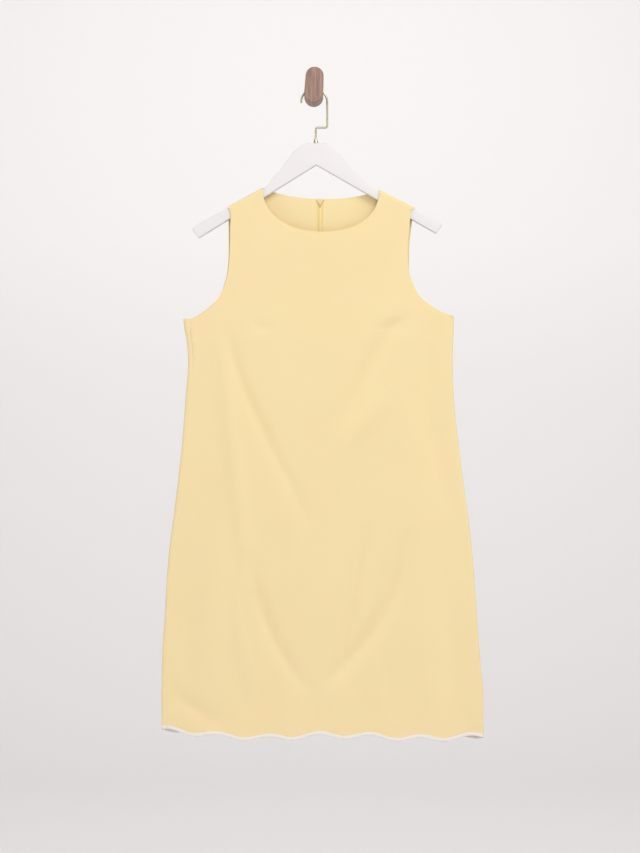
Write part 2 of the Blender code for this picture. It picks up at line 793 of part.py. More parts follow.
def dress(group):
    front, left, right = front_rows(), back_left_rows(), back_right_rows()
    panel("front_panel", front, -1, group)
    panel("back_panel_left", left, 1, group)
    panel("back_panel_right", right, 1, group)
    binding("hem_binding_front", front, -1, group)
    binding("hem_binding_back_left", left, 1, group)
    binding("hem_binding_back_right", right, 1, group)
    inner_sheet("back_facing_left", facing_rows(-1), FACING, "yellow_facing", group)
    inner_sheet("back_facing_right", facing_rows(1), FACING, "yellow_facing", group)
    zip_strips(group)


def flat_curve(name, outlines, thick, edge=0.0):
    """A flat shape in the XZ plane from closed outlines, with rounded edges."""
    shape = bpy.data.curves.new(name, "CURVE")
    shape.dimensions = "2D"
    shape.fill_mode = "BOTH"
    shape.extrude = (thick / 2 - edge) * MM
    shape.bevel_depth = edge * MM
    shape.bevel_resolution = 1
    shape.offset = -edge * MM
    for outline in outlines:
        spline = shape.splines.new("POLY")
        spline.points.add(len(outline) - 1)
        for point, (x, z) in zip(spline.points, outline):
            point.co = (x * MM, z * MM, 0.0, 1.0)
        spline.use_cyclic_u = True
    return shape


def arc(centre, radius, start, stop, count):
    """Points of an arc, with angles in degrees."""
    angles = [math.radians(a) for a in columns_between(start, stop, count)]
    return [(centre[0] + radius * math.cos(a), centre[1] + radius * math.sin(a)) for a in angles]


def hanger_half():
    """The hanger's outline right of its middle, from the top down to the notch."""
    neck_top = through(HANGER_NECK, 1)
    outs = columns_between(HANGER_NECK[0][0], HANGER_NECK[-1][0], HANGER_NECK_STEPS)
    upper = [(out, neck_top(out)) for out in outs]
    tip = ARM_REACH
    foot = tip - ARM_END_LEAN
    under = -ARM_UNDER_SLOPE * foot
    end = [(tip - ARM_END_ROUND, arm_top(tip - ARM_END_ROUND))]
    end += [(tip + out, arm_top(tip) + z) for out, z in ARM_END_UPPER]
    end += [(foot + out, under + z) for out, z in ARM_END_LOWER]
    return upper + end


def hanger(group):
    half = hanger_half()
    outline = half + [(0.0, 0.0)] + [(-out, z) for out, z in reversed(half)]
    points = [on_hanger(out, z) for out, z in outline]
    shape = flat_curve("hanger", [points], HANGER_THICK, HANGER_ROUND)
    made = add_object("hanger", shape, "white_paint", group)
    made.rotation_euler.x = math.pi / 2
    made.location.y = MID_Y * MM


def hanger_top():
    return on_hanger(STEM_X - HANGER_X, HANGER_NECK[0][1])[1]


def ferrule(group):
    """The small cone that the wire comes out of, turned round the wire."""
    bore = WIRE_R + SEAM_GAP
    profile = ((bore, FERRULE_HIGH), (FERRULE_TOP_R, FERRULE_HIGH), (FERRULE_FOOT_R, 0.0), (bore, 0.0))
    sketch = bmesh.new()
    corners = [sketch.verts.new((r * MM, 0.0, z * MM)) for r, z in profile]
    for a, b in zip(corners, corners[1:] + corners[:1]):
        sketch.edges.new((a, b))
    mesh = bpy.data.meshes.new("hanger_ferrule")
    sketch.to_mesh(mesh)
    sketch.free()
    made = add_object("hanger_ferrule", mesh, "brass_wire", group)
    made.location = Vector((STEM_X, MID_Y, hanger_top() + SEAM_GAP)) * MM
    turned = made.modifiers.new("turned", "SCREW")
    turned.steps = 24
    turned.render_steps = 24
    turned.use_merge_vertices = True
    turned.merge_threshold = 0.00001


def hook_route():
    """The hook's middle line: stem, square step, upright and the loop over the peg."""
    bend = HOOK_BEND
    route = [(STEM_X, hanger_top() + SEAM_GAP), (STEM_X, STEP_Z - bend)]
    route += arc((STEM_X + bend, STEP_Z - bend), bend, 180, 90, 4)[1:]
    route += arc((LOOP_R - bend, STEP_Z + bend), bend, 270, 360, 4)
    route += arc((0.0, LOOP_Z), LOOP_R, 0, LOOP_END, 26)
    return route


def hook(group):
    shape = bpy.data.curves.new("hanger_hook", "CURVE")
    shape.dimensions = "3D"
    shape.bevel_depth = WIRE_R * MM
    shape.bevel_resolution = 2
    shape.use_fill_caps = True
    route = hook_route()
    spline = shape.splines.new("POLY")
    spline.points.add(len(route) - 1)
    for point, (x, z) in zip(spline.points, route):
        point.co = (x * MM, MID_Y * MM, z * MM, 1.0)
    add_object("hanger_hook", shape, "brass_wire", group)


def as_mesh(source, group):
    """A curve object remade as a mesh object with closed caps, under the same name."""
    depsgraph = bpy.context.evaluated_depsgraph_get()
    mesh = bpy.data.meshes.new_from_object(source.evaluated_get(depsgraph))
    welded = bmesh.new()
    welded.from_mesh(mesh)
    bmesh.ops.remove_doubles(welded, verts=welded.verts[:], dist=0.00001)
    bmesh.ops.recalc_face_normals(welded, faces=welded.faces[:])
    welded.to_mesh(mesh)
    welded.free()
    name, place = source.name, source.matrix_world.copy()
    bpy.data.objects.remove(source, do_unlink=True)
    made = bpy.data.objects.new(name, mesh)
    made.matrix_world = place
    group.objects.link(made)
    return made


def box(name, size, centre, group):
    made_from = bmesh.new()
    bmesh.ops.create_cube(made_from, size=1.0)
    bmesh.ops.scale(made_from, vec=Vector(size) * MM, verts=made_from.verts[:])
    bmesh.ops.translate(made_from, vec=Vector(centre) * MM, verts=made_from.verts[:])
    mesh = bpy.data.meshes.new(name)
    made_from.to_mesh(mesh)
    made_from.free()
    made = bpy.data.objects.new(name, mesh)
    group.objects.link(made)
    return made


def as_cutter(cutter):
    cutter.hide_render = True
    cutter.display_type = "WIRE"
    return cutter


def combine(target, other, how):
    step = target.modifiers.new(how.lower(), "BOOLEAN")
    step.operation = how
    step.object = other
    step.solver = "EXACT"


def wall_peg(group, cutters):
    """An upright peg with a slot across its top, parted from the wall by a solid block."""
    top_z, foot_z = PEG_HALF_HIGH - PEG_TOP_R, PEG_FOOT_R - PEG_HALF_HIGH
    outline = arc((0.0, top_z), PEG_TOP_R, 0, 180, 18) + arc((0.0, foot_z), PEG_FOOT_R, 180, 360, 18)
    shape = flat_curve("wall_peg", [outline], PEG_DEEP, PEG_EDGE)
    blank = add_object("wall_peg", shape, "walnut_wood", group)
    blank.rotation_euler.x = math.pi / 2
    blank.location.y = -PEG_DEEP / 2 * MM
    bpy.context.view_layer.update()
    made = as_mesh(blank, group)
    middle = (0.0, MID_Y, SLOT_FLOOR_Z + SLOT_CUT / 2)
    slot = box("peg_slot_cut", (SLOT_CUT, SLOT_WIDE, SLOT_CUT), middle, cutters)
    combine(made, as_cutter(slot), "DIFFERENCE")


def slider_axis():
    """The pull tab's axis: x, y and z of its middle."""
    skin = MID_Y + face_depth(CENTRE_BACK_X, SLIDER_Z, 1)
    return CENTRE_BACK_X, skin + SEAM_GAP + SLIDER_WALL + LUG_REACH, SLIDER_Z


def zip_slider(group, cutters):
    """The slider: a small block on the outside of the centre back, with a pierced lug."""
    x, y, z = slider_axis()
    body_y = y - LUG_REACH - SLIDER_WALL / 2
    made = box("zip_slider", (SLIDER_WIDE, SLIDER_WALL, SLIDER_HIGH), (x, body_y, z - SLIDER_DROP), group)
    made.data.materials.append(finish("yellow_enamel"))
    edge = made.modifiers.new("rounded edges", "BEVEL")
    edge.width = SLIDER_EDGE * MM
    edge.segments = 2
    deep = LUG_REACH + LUG_ROUND + LUG_ROOT
    lug = box("slider_lug", (LUG_WALL, deep, 2 * LUG_ROUND), (x, y + LUG_ROUND - deep / 2, z), cutters)
    combine(made, as_cutter(lug), "UNION")
    eye = bmesh.new()
    bmesh.ops.create_cone(eye, cap_ends=True, segments=20, radius1=EYE_R * MM, radius2=EYE_R * MM,
                          depth=EYE_LONG * MM)
    mesh = bpy.data.meshes.new("slider_eye")
    eye.to_mesh(mesh)
    eye.free()
    hole = bpy.data.objects.new("slider_eye", mesh)
    hole.rotation_euler.y = math.pi / 2
    hole.location = Vector((x, y, z)) * MM
    cutters.objects.link(hole)
    combine(made, as_cutter(hole), "DIFFERENCE")


def zip_pull_tab(group):
    """The pull tab, a flat plate with a window whose top bar runs through the slider's lug."""
    half = TAB_WIDE / 2
    bar = TAB_BAR / 2
    outer = [(-half, bar), (half, bar)]
    outer += arc((0.0, bar - TAB_LONG + half), half, 0, -180, 10)
    window_half = half - TAB_SIDE
    window = [(-window_half, -bar), (window_half, -bar), (window_half, -bar - TAB_WINDOW)]
    window += [(-window_half, -bar - TAB_WINDOW)]
    shape = flat_curve("zip_pull_tab", [outer, window], TAB_WALL)
    made = add_object("zip_pull_tab", shape, "yellow_enamel", group)
    made.rotation_euler.x = math.pi / 2
    made.location = Vector(slider_axis()) * MM


def main():
    clear_scene()
    group = collection("a_line_mini_dress_on_hanger")
    cutters = collection("cutters", hidden=True)
    dress(group)
    hanger(group)
    ferrule(group)
    hook(group)
    wall_peg(group, cutters)
    zip_slider(group, cutters)
    zip_pull_tab(group)


main()
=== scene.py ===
"""Looks for the A-line mini dress on its hanger and wall peg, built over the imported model.

Sizes are in millimetres here and turned to metres as each mesh is made. The cloth is a hollow ring
at every height: two faces, joined by a small round turn at each side. s is x along a face; past the
face's flat stretch it runs on round the side turn, and then back along the other face.
"""

import math

import bmesh
import bpy
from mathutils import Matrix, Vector


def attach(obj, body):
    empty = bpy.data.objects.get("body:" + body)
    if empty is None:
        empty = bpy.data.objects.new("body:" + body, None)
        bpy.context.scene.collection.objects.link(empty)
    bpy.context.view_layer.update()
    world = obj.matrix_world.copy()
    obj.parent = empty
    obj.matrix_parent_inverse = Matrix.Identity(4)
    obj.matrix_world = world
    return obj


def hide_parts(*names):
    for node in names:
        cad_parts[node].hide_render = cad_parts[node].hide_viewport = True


bl_info = {
    "name": "A-line mini dress on a hanger",
    "version": (1, 0, 0),
    "blender": (4, 5, 0),
    "location": "View3D > Sidebar > Dress",
    "description": "Builds the cloth, zip, binding, hanger, hook and peg of a hanging mini dress",
    "category": "Object",
}

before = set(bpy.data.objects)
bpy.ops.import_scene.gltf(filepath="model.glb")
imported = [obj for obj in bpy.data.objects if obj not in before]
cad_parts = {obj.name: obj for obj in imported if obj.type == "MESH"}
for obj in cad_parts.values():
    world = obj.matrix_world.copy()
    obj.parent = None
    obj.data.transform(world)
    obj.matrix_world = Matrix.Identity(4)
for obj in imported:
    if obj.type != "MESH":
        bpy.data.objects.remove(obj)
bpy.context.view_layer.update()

MM = 0.001

# cloth and seams
FACING = 0.9
SEAM_GAP = 0.3
CLOTH_GAP = 0.05            # between two cloth edges at a seam, closer than the rigid solids lie
MID_Y = -27.0               # plane of the hanger and of the side edges
SIDE_TURN = 7.0
SWELL_RUN = 90.0
FOLD_FADE_RUN = 20.0        # folds and scallops fade out this near a side
BODY_FOOT_RISE = 12.0       # the first row above the binding is as wide as the cloth this far up
HEM_SWING_FROM_Z, HEM_SWING_RUN = -955.0, 90.0
GROOVE_WIDE = 1.7
SEAM_FAINT, SEAM_DEEP = 0.25, 3.0    # the left side seam's groove, as a share of the others'
SEAM_DEEP_FROM_Z, SEAM_DEEP_RUN = -500.0, 60.0
LEAST_DEPTH = 1.1 * SEAM_GAP
NORMAL_STEP = 0.5
FOLD_REACH = 2.2            # half widths past which a fold is too faint to matter
FOLD_END = 0.1              # share of a half wave that is left out at each end of a fold
PIT_Z = -379.0
CENTRE_BACK_X = 9.5
LEFT_SEAM_INSET = 1.5
PIT_SEAM_INSET = 7.0
PIT_SEAM_RUN = 30.0
RIGHT_SEAM_INSET = 3.0

# hanger, in its own upright frame about the notch under its neck, then tilted
HANGER_X, HANGER_Z = 3.4, -129.0
HANGER_TILT = math.radians(1.1)
HANGER_THICK = 11.0
ARM_REACH = 204.3
ARM_TOP_SLOPE = 0.525
ARM_UNDER_SLOPE = 0.598
ARM_TOP_AT_NECK = -37.0
ARM_STRAIGHT_FROM = 88.0
ARM_END_LEAN = 10.8
ARM_END_ROUND = 4.5
ARM_TIP_CORNER = ((-1.0, -1.0), (-1.4, -4.5))
ARM_FOOT_CORNER = ((2.2, 3.6), (-0.4, 0.6), (-4.0, 2.6))
CLOTH_OVER_ARM = 2.7
NECK_LEFT, TIP_LEFT = 88.0, 146.0
NECK_RIGHT, TIP_RIGHT = 102.0, 159.5

# shoulders, neckline and hem
SHOULDER_ROUND_Z = 5.0
SHOULDER_ROWS = (5.0, 3.0, 1.5, 0.7, 0.35, 0.0)
NECK_CORNER = (0.7, 2.2, 4.2, 6.5, 9.5, 13.0)
NECK_LEAN = math.radians(30)
NECK_LEAN_RUN = 45.0
FRONT_NECK_POWER, BACK_NECK_POWER = 2.2, 2.4
YOKE_CROWDING = 1.3         # rows of the yoke lie closer together low down
EDGE_TURN_POWER = 6         # how late a yoke's side turns to meet its top corner
NEAR_TIP = 0.95             # share of an armhole's height that gives its direction at the tip
LEFT_MARKS = (-106.0, -88.0)
RIGHT_MARKS = (128.0, 110.0)
FRONT_NECK_DROP = 71.0
BACK_NECK_DROP = 15.5
SCALLOPS = 13
SCALLOP_CREST_X = 8.0
SCALLOP_DEPTH = 7.0
BINDING_HIGH = 5.0
BINDING_LIP, BINDING_BEVEL = 0.4, 0.25    # height and depth of the folded strip's rounded top
BINDING_ROLL = 0.55         # how full the fold under the edge is, 1 being round
BINDING_STITCH_DOWN, BINDING_STITCH_OUT = 1.0, 0.6
FACING_FOOT_Z = -268.0
FACING_NECK_DROP = 0.6
FACING_ARM_DROP = 9.0
FACING_INSET = 1.0
FACING_MARKS = 0.9
FACING_ARM_EASE = 1.15
FACING_OVER_TAPE = 0.6
STITCHES_FROM_TOP, STITCHES_FROM_FOOT = 2.0, 1.6
STITCH_SHARE = 0.7          # of its pitch that a stitch fills

# zip
ZIP_FOOT_Z = -735.0
ZIP_SPLIT_Z = -196.0        # the tapes part in a V above this
TAPE_WIDE = 4.8
TAPE_THICK = 0.5
TAPE_PARTS_BY = 3.4
TAPE_NARROWS_BY = 0.75
COIL_WIDE = 2.2
COIL_IN = 0.7
TOOTH_LONG = 1.9            # pitches
TOOTH_WIDE, TOOTH_HIGH = 5.2, 2.2
# the lines along the V's edges are thin wires in a dark colour: painted shadow of the shaded gaps where
# the tape ends turn
V_SHADOW_LINE_R = 0.45
V_SHADOW_NEAR, V_SHADOW_FAR = 0.7, 5.8

# peg and hook
PEG_DEEP = 42.0
PEG_TOP_R = 14.6
PEG_FOOT_R = 15.5
PEG_HALF_HIGH = 29.4
PEG_LEAN = math.radians(3)  # the peg is fixed with its head a little to the right
SLOT_WIDE = 8.0
SLOT_FLOOR_Z = -14.1
WIRE_R = 1.6
LOOP_R = 21.2
LOOP_Z = -25.6
STEP_Z = -67.5
STEM_X = 2.6
HOOK_BEND_R = 3.0
HOOK_SWEEP = 184.0          # degrees of the loop, which ends a little past half way round

FERRULE_HIGH = 7.0
FERRULE_PROFILE = (
    # radius, height
    (3.5, 0.0),
    (3.8, 0.4),
    (3.6, 1.4),
    (2.6, 5.6),
    (2.5, 6.3),
    (2.2, FERRULE_HIGH),
)

# the photograph's frame, and the camera's place for it
FRAME_WIDE = 640            # pixels
MM_PER_PIXEL = 1.63
SENSOR_WIDE = 36.0
CAMERA_X, CAMERA_Z = 9.5, -554.5

# the stage, in metres
FLOOR_Z, BACK_Y, FRONT_Y, SWEEP_BEND = -1.9, 5.5, -20.0, 1.6
BACKDROP_TOP_Z, STAGE_HALF = 6.0, 20.0
# the painted shade on the paper fades out up to this height
PAPER_SHADE_TOP_Z = 0.3
AIM = (0.01, -0.03, -0.55)

# looks
WHITE = (1.0, 1.0, 1.0)
ROOM_LIGHT = 0.555
# painted light: the coil is the tape's own yellow, lifted to fill the shade between its teeth
COIL_PAINTED_LIGHT = (1.15, 1.15, 1.15)
WAVE_MM = 314               # a wave texture of scale 1 repeats after this
SHARP_ANGLE = math.radians(38)

LEVELS = (
    # z, left, right, front, back
    (-1062, -249, 276, 30.0, 17.0),
    (-1000, -249, 276, 29.0, 16.5),
    (-935, -248, 271, 27.5, 16.0),
    (-870, -244, 266, 26.0, 15.0),
    (-772, -238, 259, 23.0, 14.0),
    (-707, -230, 252, 21.0, 13.0),
    (-642, -222, 243, 19.0, 12.0),
    (-577, -215, 235, 17.5, 11.5),
    (-511, -210, 228, 16.0, 11.0),
    (-446, -205.5, 226, 14.5, 10.5),
    (-413, -208, 227, 14.0, 10.2),
    (-394, -212, 228, 13.0, 10.0),
    (-380, -213, 228, 12.5, 9.8),
    (-300, -213, 228, 9.0, 9.2),
    (-160, -213, 228, 8.2, 9.2),
)

ARMHOLES = (
    # z, front left, front right, back left, back right
    (-378, -196, 238, -199, 212),
    (-367, -177, 205, -181, 200),
    (-354, -163, 185, -165.5, 183.5),
    (-341, -153, 170, -154.5, 170.5),
    (-322, -145, 160.5, -147, 162),
    (-300, -139.5, 153.5, -141.5, 155),
    (-270, -137, 151.5, -139.5, 155),
    (-240, -136, 153, -139.5, 157.5),
    (-217, -134, 153.5, -140, 160),
    (-207, -134, 154.5, -140, 160.5),
)

HEM_LINE = (
    # x, z
    (-245, -1045),
    (-157, -1051),
    (-77, -1055),
    (9, -1051),
    (84, -1052),
    (170, -1056),
    (262, -1056),
)

# a row for each soft trough (or, where deep is below nought, ridge): four places along it
FRONT_FOLDS = (
    # x1, z1, x2, z2, x3, z3, x4, z4, half, deep
    (-141, -405, -121, -474, -75, -577, -7, -710, 10, 4.5),
    (-150, -430, -134, -577, -116, -723, -103, -813, 13, -6.0),
    (-116, -797, -121, -854, -116, -919, -105, -984, 12, -5.0),
    (-105, -766, -85, -847, -56, -916, -13, -978, 11, 5.2),
    (88, -723, 68, -821, 52, -903, 45, -961, 11, 5.0),
    (151, -731, 127, -824, 81, -906, 26, -961, 12, 6.0),
    (195, -397, 185, -511, 195, -593, 215, -674, 18, 3.0),
    (145, -381, 117, -410, 78, -479, 52, -544, 14, 5.6),
    (124, -498, 91, -536, 58, -577, 42, -634, 16, -3.4),
    (-246, -974, -219, -995, -186, -1017, -150, -1036, 14, 3.3),
    (-186, -772, -202, -837, -209, -903, -202, -968, 18, 3.4),
    (-46, -674, -36, -731, -39, -788, -49, -837, 14, -1.8),
    (-101, -384, -92, -391, -79, -394, -66, -397, 9, 1.8),
    (99, -397, 114, -394, 130, -387, 145, -381, 8, 1.8),
    (205, -772, 215, -854, 221, -935, 218, -1017, 16, 3.2),
    (115, -948, 127, -974, 133, -1000, 130, -1026, 14, 2.1),
)
BACK_FOLDS = (
    # x1, z1, x2, z2, x3, z3, x4, z4, half, deep
    (-146, -420, -128, -520, -98, -620, -50, -720, 11, 3.3),
    (-136, -690, -118, -780, -116, -880, -126, -1000, 14, 3.6),
    (148, -430, 136, -520, 118, -610, 84, -700, 11, 3.0),
    (124, -690, 114, -790, 116, -890, 132, -1010, 15, 3.6),
    (196, -520, 191, -590, 194, -650, 206, -720, 12, 2.4),
    (-62, -790, -68, -860, -66, -940, -56, -1010, 12, 2.4),
    (-190, -560, -184, -660, -186, -760, -196, -860, 12, 2.1),
    (74, -780, 68, -850, 67, -920, 70, -990, 11, -2.2),
    (-104, -500, -94, -560, -74, -640, -40, -700, 11, -2.4),
)

# the hanger's upper edge from its flat top to the straight stretch
HANGER_NECK = (
    # out, z
    (13.0, 35.9),
    (20.0, 33.6),
    (28.0, 28.7),
    (36.7, 22.0),
    (46.5, 9.5),
    (58.7, -7.2),
    (73.4, -22.3),
    (82.0, -33.85),
)

# how finely each piece is cut into faces
OUTER_COLUMNS = 24
MIDDLE_COLUMNS = 24
TURN_COLUMNS = 8
TIP_COLUMNS = 7             # over which the top rows turn to follow an armhole
BODY_ROWS = 160
YOKE_ROWS = 44
FACING_ROWS = 22
ZIP_ROWS = 140
FOLD_SAMPLES = 12
NECK_SAMPLES = 600


def hex_to_linear(text):
    values = [int(text[i:i + 2], 16) / 255 for i in (0, 2, 4)]
    return tuple(v / 12.92 if v <= 0.04045 else ((v + 0.055) / 1.055) ** 2.4 for v in values)


# what a user may change


def size(name, default, text, unit="LENGTH"):
    return bpy.props.FloatProperty(name=name, description=text, default=default, unit=unit)


def paint(name, colour, text):
    return bpy.props.FloatVectorProperty(name=name, description=text, subtype="COLOR", size=3,
                                         min=0.0, max=1.0, default=hex_to_linear(colour))


class DressSizes(bpy.types.PropertyGroup):
    cloth_wall: size("Cloth wall", 0.0012, "Thickness of the dress cloth")
    fold_depth: size("Fold depth", 1.0, "Depth of the hanging folds, as a share of the real ones", "NONE")
    seam_groove: size("Seam groove", 0.0004, "How far the cloth dips beside a seam")
    hem_wave: size("Hem wave", 0.0012, "How far the scallops swing in and out of the hem's line")
    binding_wall: size("Binding wall", 0.0006, "Thickness of the folded binding")
    tooth_pitch: size("Zip tooth pitch", 0.0012, "Distance from one zip tooth to the next")
    stitch_pitch: size("Stitch pitch", 0.0026, "Distance from one stitch to the next")
    thread_width: size("Thread width", 0.00035, "Width of the sewing thread")
    camera_reach: size("Camera distance", 3.0, "Distance from the camera to the plane of the dress")


class DressColours(bpy.types.PropertyGroup):
    cloth: paint("Cloth", "f5dfad", "Butter yellow crepe")
    # painted light: the facing is the dress's own crepe, coloured a little lighter to lift the shade
    # inside the back neck
    facing: paint("Facing", "fbe2ae", "Inside of the back neck")
    zip_tape: paint("Zip tape", "f6db9c", "Woven tape and coil of the zip")
    # painted shadow: this dark brown colours the lines along the zip's V and stands in for the shade in
    # the gaps there
    zip_end: paint("Zip end", "c79f58", "Turned ends of the tapes, in their own shade")
    enamel: paint("Zip enamel", "f0d493", "Slider and pull tab")
    binding: paint("Binding", "f4ece6", "Bias binding of the hem")
    hanger: paint("Hanger paint", "ebe7e6", "Satin white paint")
    brass: paint("Hook brass", "cdc5a8", "Pale brass wire")
    wood_dark: paint("Peg grain", "795b52", "Dark streaks of the walnut")
    wood_light: paint("Peg wood", "ab8979", "Light wood of the peg")
    stage: paint("Stage", "edebea", "Floor and backdrop")


def sizes():
    return bpy.context.scene.dress_sizes


def colours():
    return bpy.context.scene.dress_colours


# curves and tables


def through(rows, column):
    """A smooth curve through one column of a table against its first, with no overshoot."""
    rows = sorted(rows)
    xs = [row[0] for row in rows]
    ys = [row[column] for row in rows]
    steps = [(y2 - y1) / (x2 - x1) for x1, x2, y1, y2 in zip(xs, xs[1:], ys, ys[1:])]
    slopes = [steps[0]]
    for before, after in zip(steps, steps[1:]):
        same_way = before * after > 0
        slopes.append(2 * before * after / (before + after) if same_way else 0.0)
    slopes.append(steps[-1])

    def value(x):
        x = min(max(x, xs[0]), xs[-1])
        i = min(sum(1 for known in xs[1:] if x > known), len(steps) - 1)
        run = xs[i + 1] - xs[i]
        t = (x - xs[i]) / run
        ends = ys[i] * (1 + 2 * t) * (1 - t) ** 2 + ys[i + 1] * t * t * (3 - 2 * t)
        bends = run * (slopes[i] * t * (1 - t) ** 2 - slopes[i + 1] * t * t * (1 - t))
        return ends + bends

    return value


LEFT_EDGE, RIGHT_EDGE, FRONT_DEPTH, BACK_DEPTH = (through(LEVELS, c) for c in (1, 2, 3, 4))
HEM_CREST = through(HEM_LINE, 1)


def smooth(t):
    t = min(max(t, 0.0), 1.0)
    return t * t * (3 - 2 * t)


def blend(a, b, t):
    return a + (b - a) * t


def mix(p, q, t):
    return tuple(blend(a, b, t) for a, b in zip(p, q))


def on_hanger(out, height):
    c, s = math.cos(HANGER_TILT), math.sin(HANGER_TILT)
    return HANGER_X + out * c - height * s, HANGER_Z + out * s + height * c


def arm_top(out):
    return ARM_TOP_AT_NECK - ARM_TOP_SLOPE * (abs(out) - ARM_STRAIGHT_FROM)


def shoulder_point(out):
    return on_hanger(out, arm_top(out) + CLOTH_OVER_ARM)


TIPS = (shoulder_point(-TIP_LEFT), shoulder_point(TIP_RIGHT))
NECKS = (shoulder_point(-NECK_LEFT), shoulder_point(NECK_RIGHT))


def below_shoulders(x, z):
    nearest = math.inf
    for tip, neck in zip(TIPS, NECKS):
        along = (Vector(neck) - Vector(tip)).normalized()
        offset = Vector((x, z)) - Vector(tip)
        nearest = min(nearest, abs(along.x * offset.y - along.y * offset.x))
    return nearest


def fold_path(row):
    """A smooth line through a fold's four places, as share of its length, x and z."""
    xs, zs = ([(place, row[2 * place + k]) for place in range(4)] for k in (0, 1))
    x_at, z_at = through(xs, 1), through(zs, 1)
    for i in range(FOLD_SAMPLES + 1):
        t = i / FOLD_SAMPLES
        yield t, x_at(3 * t), z_at(3 * t)


def fold_reach(path, half):
    """The box outside which a fold is too faint to matter."""
    far = FOLD_REACH * half
    xs, zs = [x for _, x, _ in path], [z for _, _, z in path]
    return min(xs) - far, max(xs) + far, min(zs) - far, max(zs) + far


def fold_list(rows):
    paths = [(list(fold_path(row)), row[8], row[9]) for row in rows]
    return [(path, half, deep, fold_reach(path, half)) for path, half, deep in paths]


FOLDS = {-1: fold_list(FRONT_FOLDS), 1: fold_list(BACK_FOLDS)}


def nearest_on(path, x, z):
    """Distance from a place to a fold's line, and how far along the line the nearest point is."""
    best, at = math.inf, 0.0
    for (t1, x1, z1), (t2, x2, z2) in zip(path, path[1:]):
        dx, dz = x2 - x1, z2 - z1
        u = min(max(((x - x1) * dx + (z - z1) * dz) / (dx * dx + dz * dz), 0.0), 1.0)
        gone = math.hypot(x - x1 - u * dx, z - z1 - u * dz)
        if gone < best:
            best, at = gone, blend(t1, t2, u)
    return best, at


def pressed_in(x, z, face):
    """How far the folds of a face bring it towards MID_Y at a place."""
    total = 0.0
    for path, half, deep, (low_x, high_x, low_z, high_z) in FOLDS[face]:
        if low_x < x < high_x and low_z < z < high_z:
            near, t = nearest_on(path, x, z)
            wave = math.sin(math.pi * (FOLD_END + (1 - 2 * FOLD_END) * t))
            total += deep * wave * math.exp(-(near / half) ** 2)
    return total * sizes().fold_depth


def hem_swing(x, z):
    """The scallops' swing in and out, which fades up from the hem."""
    pitch = 2 * (RIGHT_EDGE(z) - LEFT_EDGE(z)) / SCALLOPS
    fade = smooth((HEM_SWING_FROM_Z - z) / HEM_SWING_RUN)
    return sizes().hem_wave / MM * math.cos(2 * math.pi * (x - SCALLOP_CREST_X) / pitch) * fade


def face_depth(x, z, face):
    """Distance of a face of the ring from MID_Y; face is -1 for the front and 1 for the back."""
    full = FRONT_DEPTH(z) if face < 0 else BACK_DEPTH(z)
    inset = min(x - LEFT_EDGE(z), RIGHT_EDGE(z) - x) - SIDE_TURN
    depth = SIDE_TURN + (full - SIDE_TURN) * smooth(inset / SWELL_RUN)
    depth -= (pressed_in(x, z, face) + hem_swing(x, z)) * smooth(inset / FOLD_FADE_RUN)
    rounding = min(below_shoulders(x, z) / SHOULDER_ROUND_Z, 1.0)
    if z > PIT_Z and rounding < 1.0:
        depth *= math.sqrt(1 - (1 - rounding) ** 2)
    return max(depth, LEAST_DEPTH)


def ring_point(s, z, face, inward=0.0):
    """A point of the cloth's outer side, or of a layer further in."""
    low, high = LEFT_EDGE(z) + SIDE_TURN, RIGHT_EDGE(z) - SIDE_TURN
    side = 1 if s > high else -1
    past = max(s - high, low - s)
    half_turn = math.pi * SIDE_TURN
    if past <= 0:
        return s, MID_Y + face * (face_depth(s, z, face) - inward), z
    root = high if side > 0 else low
    if past <= half_turn:
        angle = past / SIDE_TURN
        radius = SIDE_TURN - inward
        return root + side * radius * math.sin(angle), MID_Y + face * radius * math.cos(angle), z
    x = root - side * (past - half_turn)
    return x, MID_Y - face * (face_depth(x, z, -face) - inward), z


def turn_end(z, side, inset):
    root = RIGHT_EDGE(z) - SIDE_TURN if side > 0 else LEFT_EDGE(z) + SIDE_TURN
    return root + side * (math.pi * SIDE_TURN + inset)


def left_inset(z):
    return blend(LEFT_SEAM_INSET, PIT_SEAM_INSET, smooth((z - PIT_Z) / PIT_SEAM_RUN + 1))


def columns_between(start, stop, count):
    return [blend(start, stop, i / count) for i in range(count + 1)]


def columns_through(marks, counts):
    columns = marks[:1]
    for start, stop, count in zip(marks, marks[1:], counts):
        columns = columns + columns_between(start, stop, count)[1:]
    return columns


def spread(z, start, stop, marks, counts):
    """Columns between two lines at one height, shared out as they are at the underarm."""
    low, high = start(PIT_Z), stop(PIT_Z)
    columns = columns_through([low, *marks, high], counts)
    return [blend(start(z), stop(z), (s - low) / (high - low)) for s in columns]


def left_flat_end(z):
    return LEFT_EDGE(z) + SIDE_TURN


def right_flat_end(z):
    return RIGHT_EDGE(z) - SIDE_TURN


def round_turn(flat_end, side):
    return columns_between(flat_end, flat_end + side * math.pi * SIDE_TURN, TURN_COLUMNS)[1:]


def front_columns(z):
    """s of each column of the front, from the left side seam round to the right one."""
    counts = (OUTER_COLUMNS, len(NECK_CORNER), 2 * MIDDLE_COLUMNS, len(NECK_CORNER), OUTER_COLUMNS)
    marks = (*LEFT_MARKS, *RIGHT_MARKS[::-1])
    flat = spread(z, lambda level: left_flat_end(level) + left_inset(level) + CLOTH_GAP / 2,
                  right_flat_end, marks, counts)
    stop = turn_end(z, 1, RIGHT_SEAM_INSET) - CLOTH_GAP / 2
    return flat + round_turn(flat[-1], 1) + [stop]


def back_left_columns(z):
    """s of each column of the left back, from the centre back round to the left side seam."""
    counts = (MIDDLE_COLUMNS, len(NECK_CORNER), OUTER_COLUMNS)
    flat = spread(z, lambda level: CENTRE_BACK_X - CLOTH_GAP / 2, left_flat_end,
                  LEFT_MARKS[::-1], counts)
    stop = turn_end(z, -1, left_inset(z)) + CLOTH_GAP / 2
    return flat + round_turn(flat[-1], -1) + [stop]


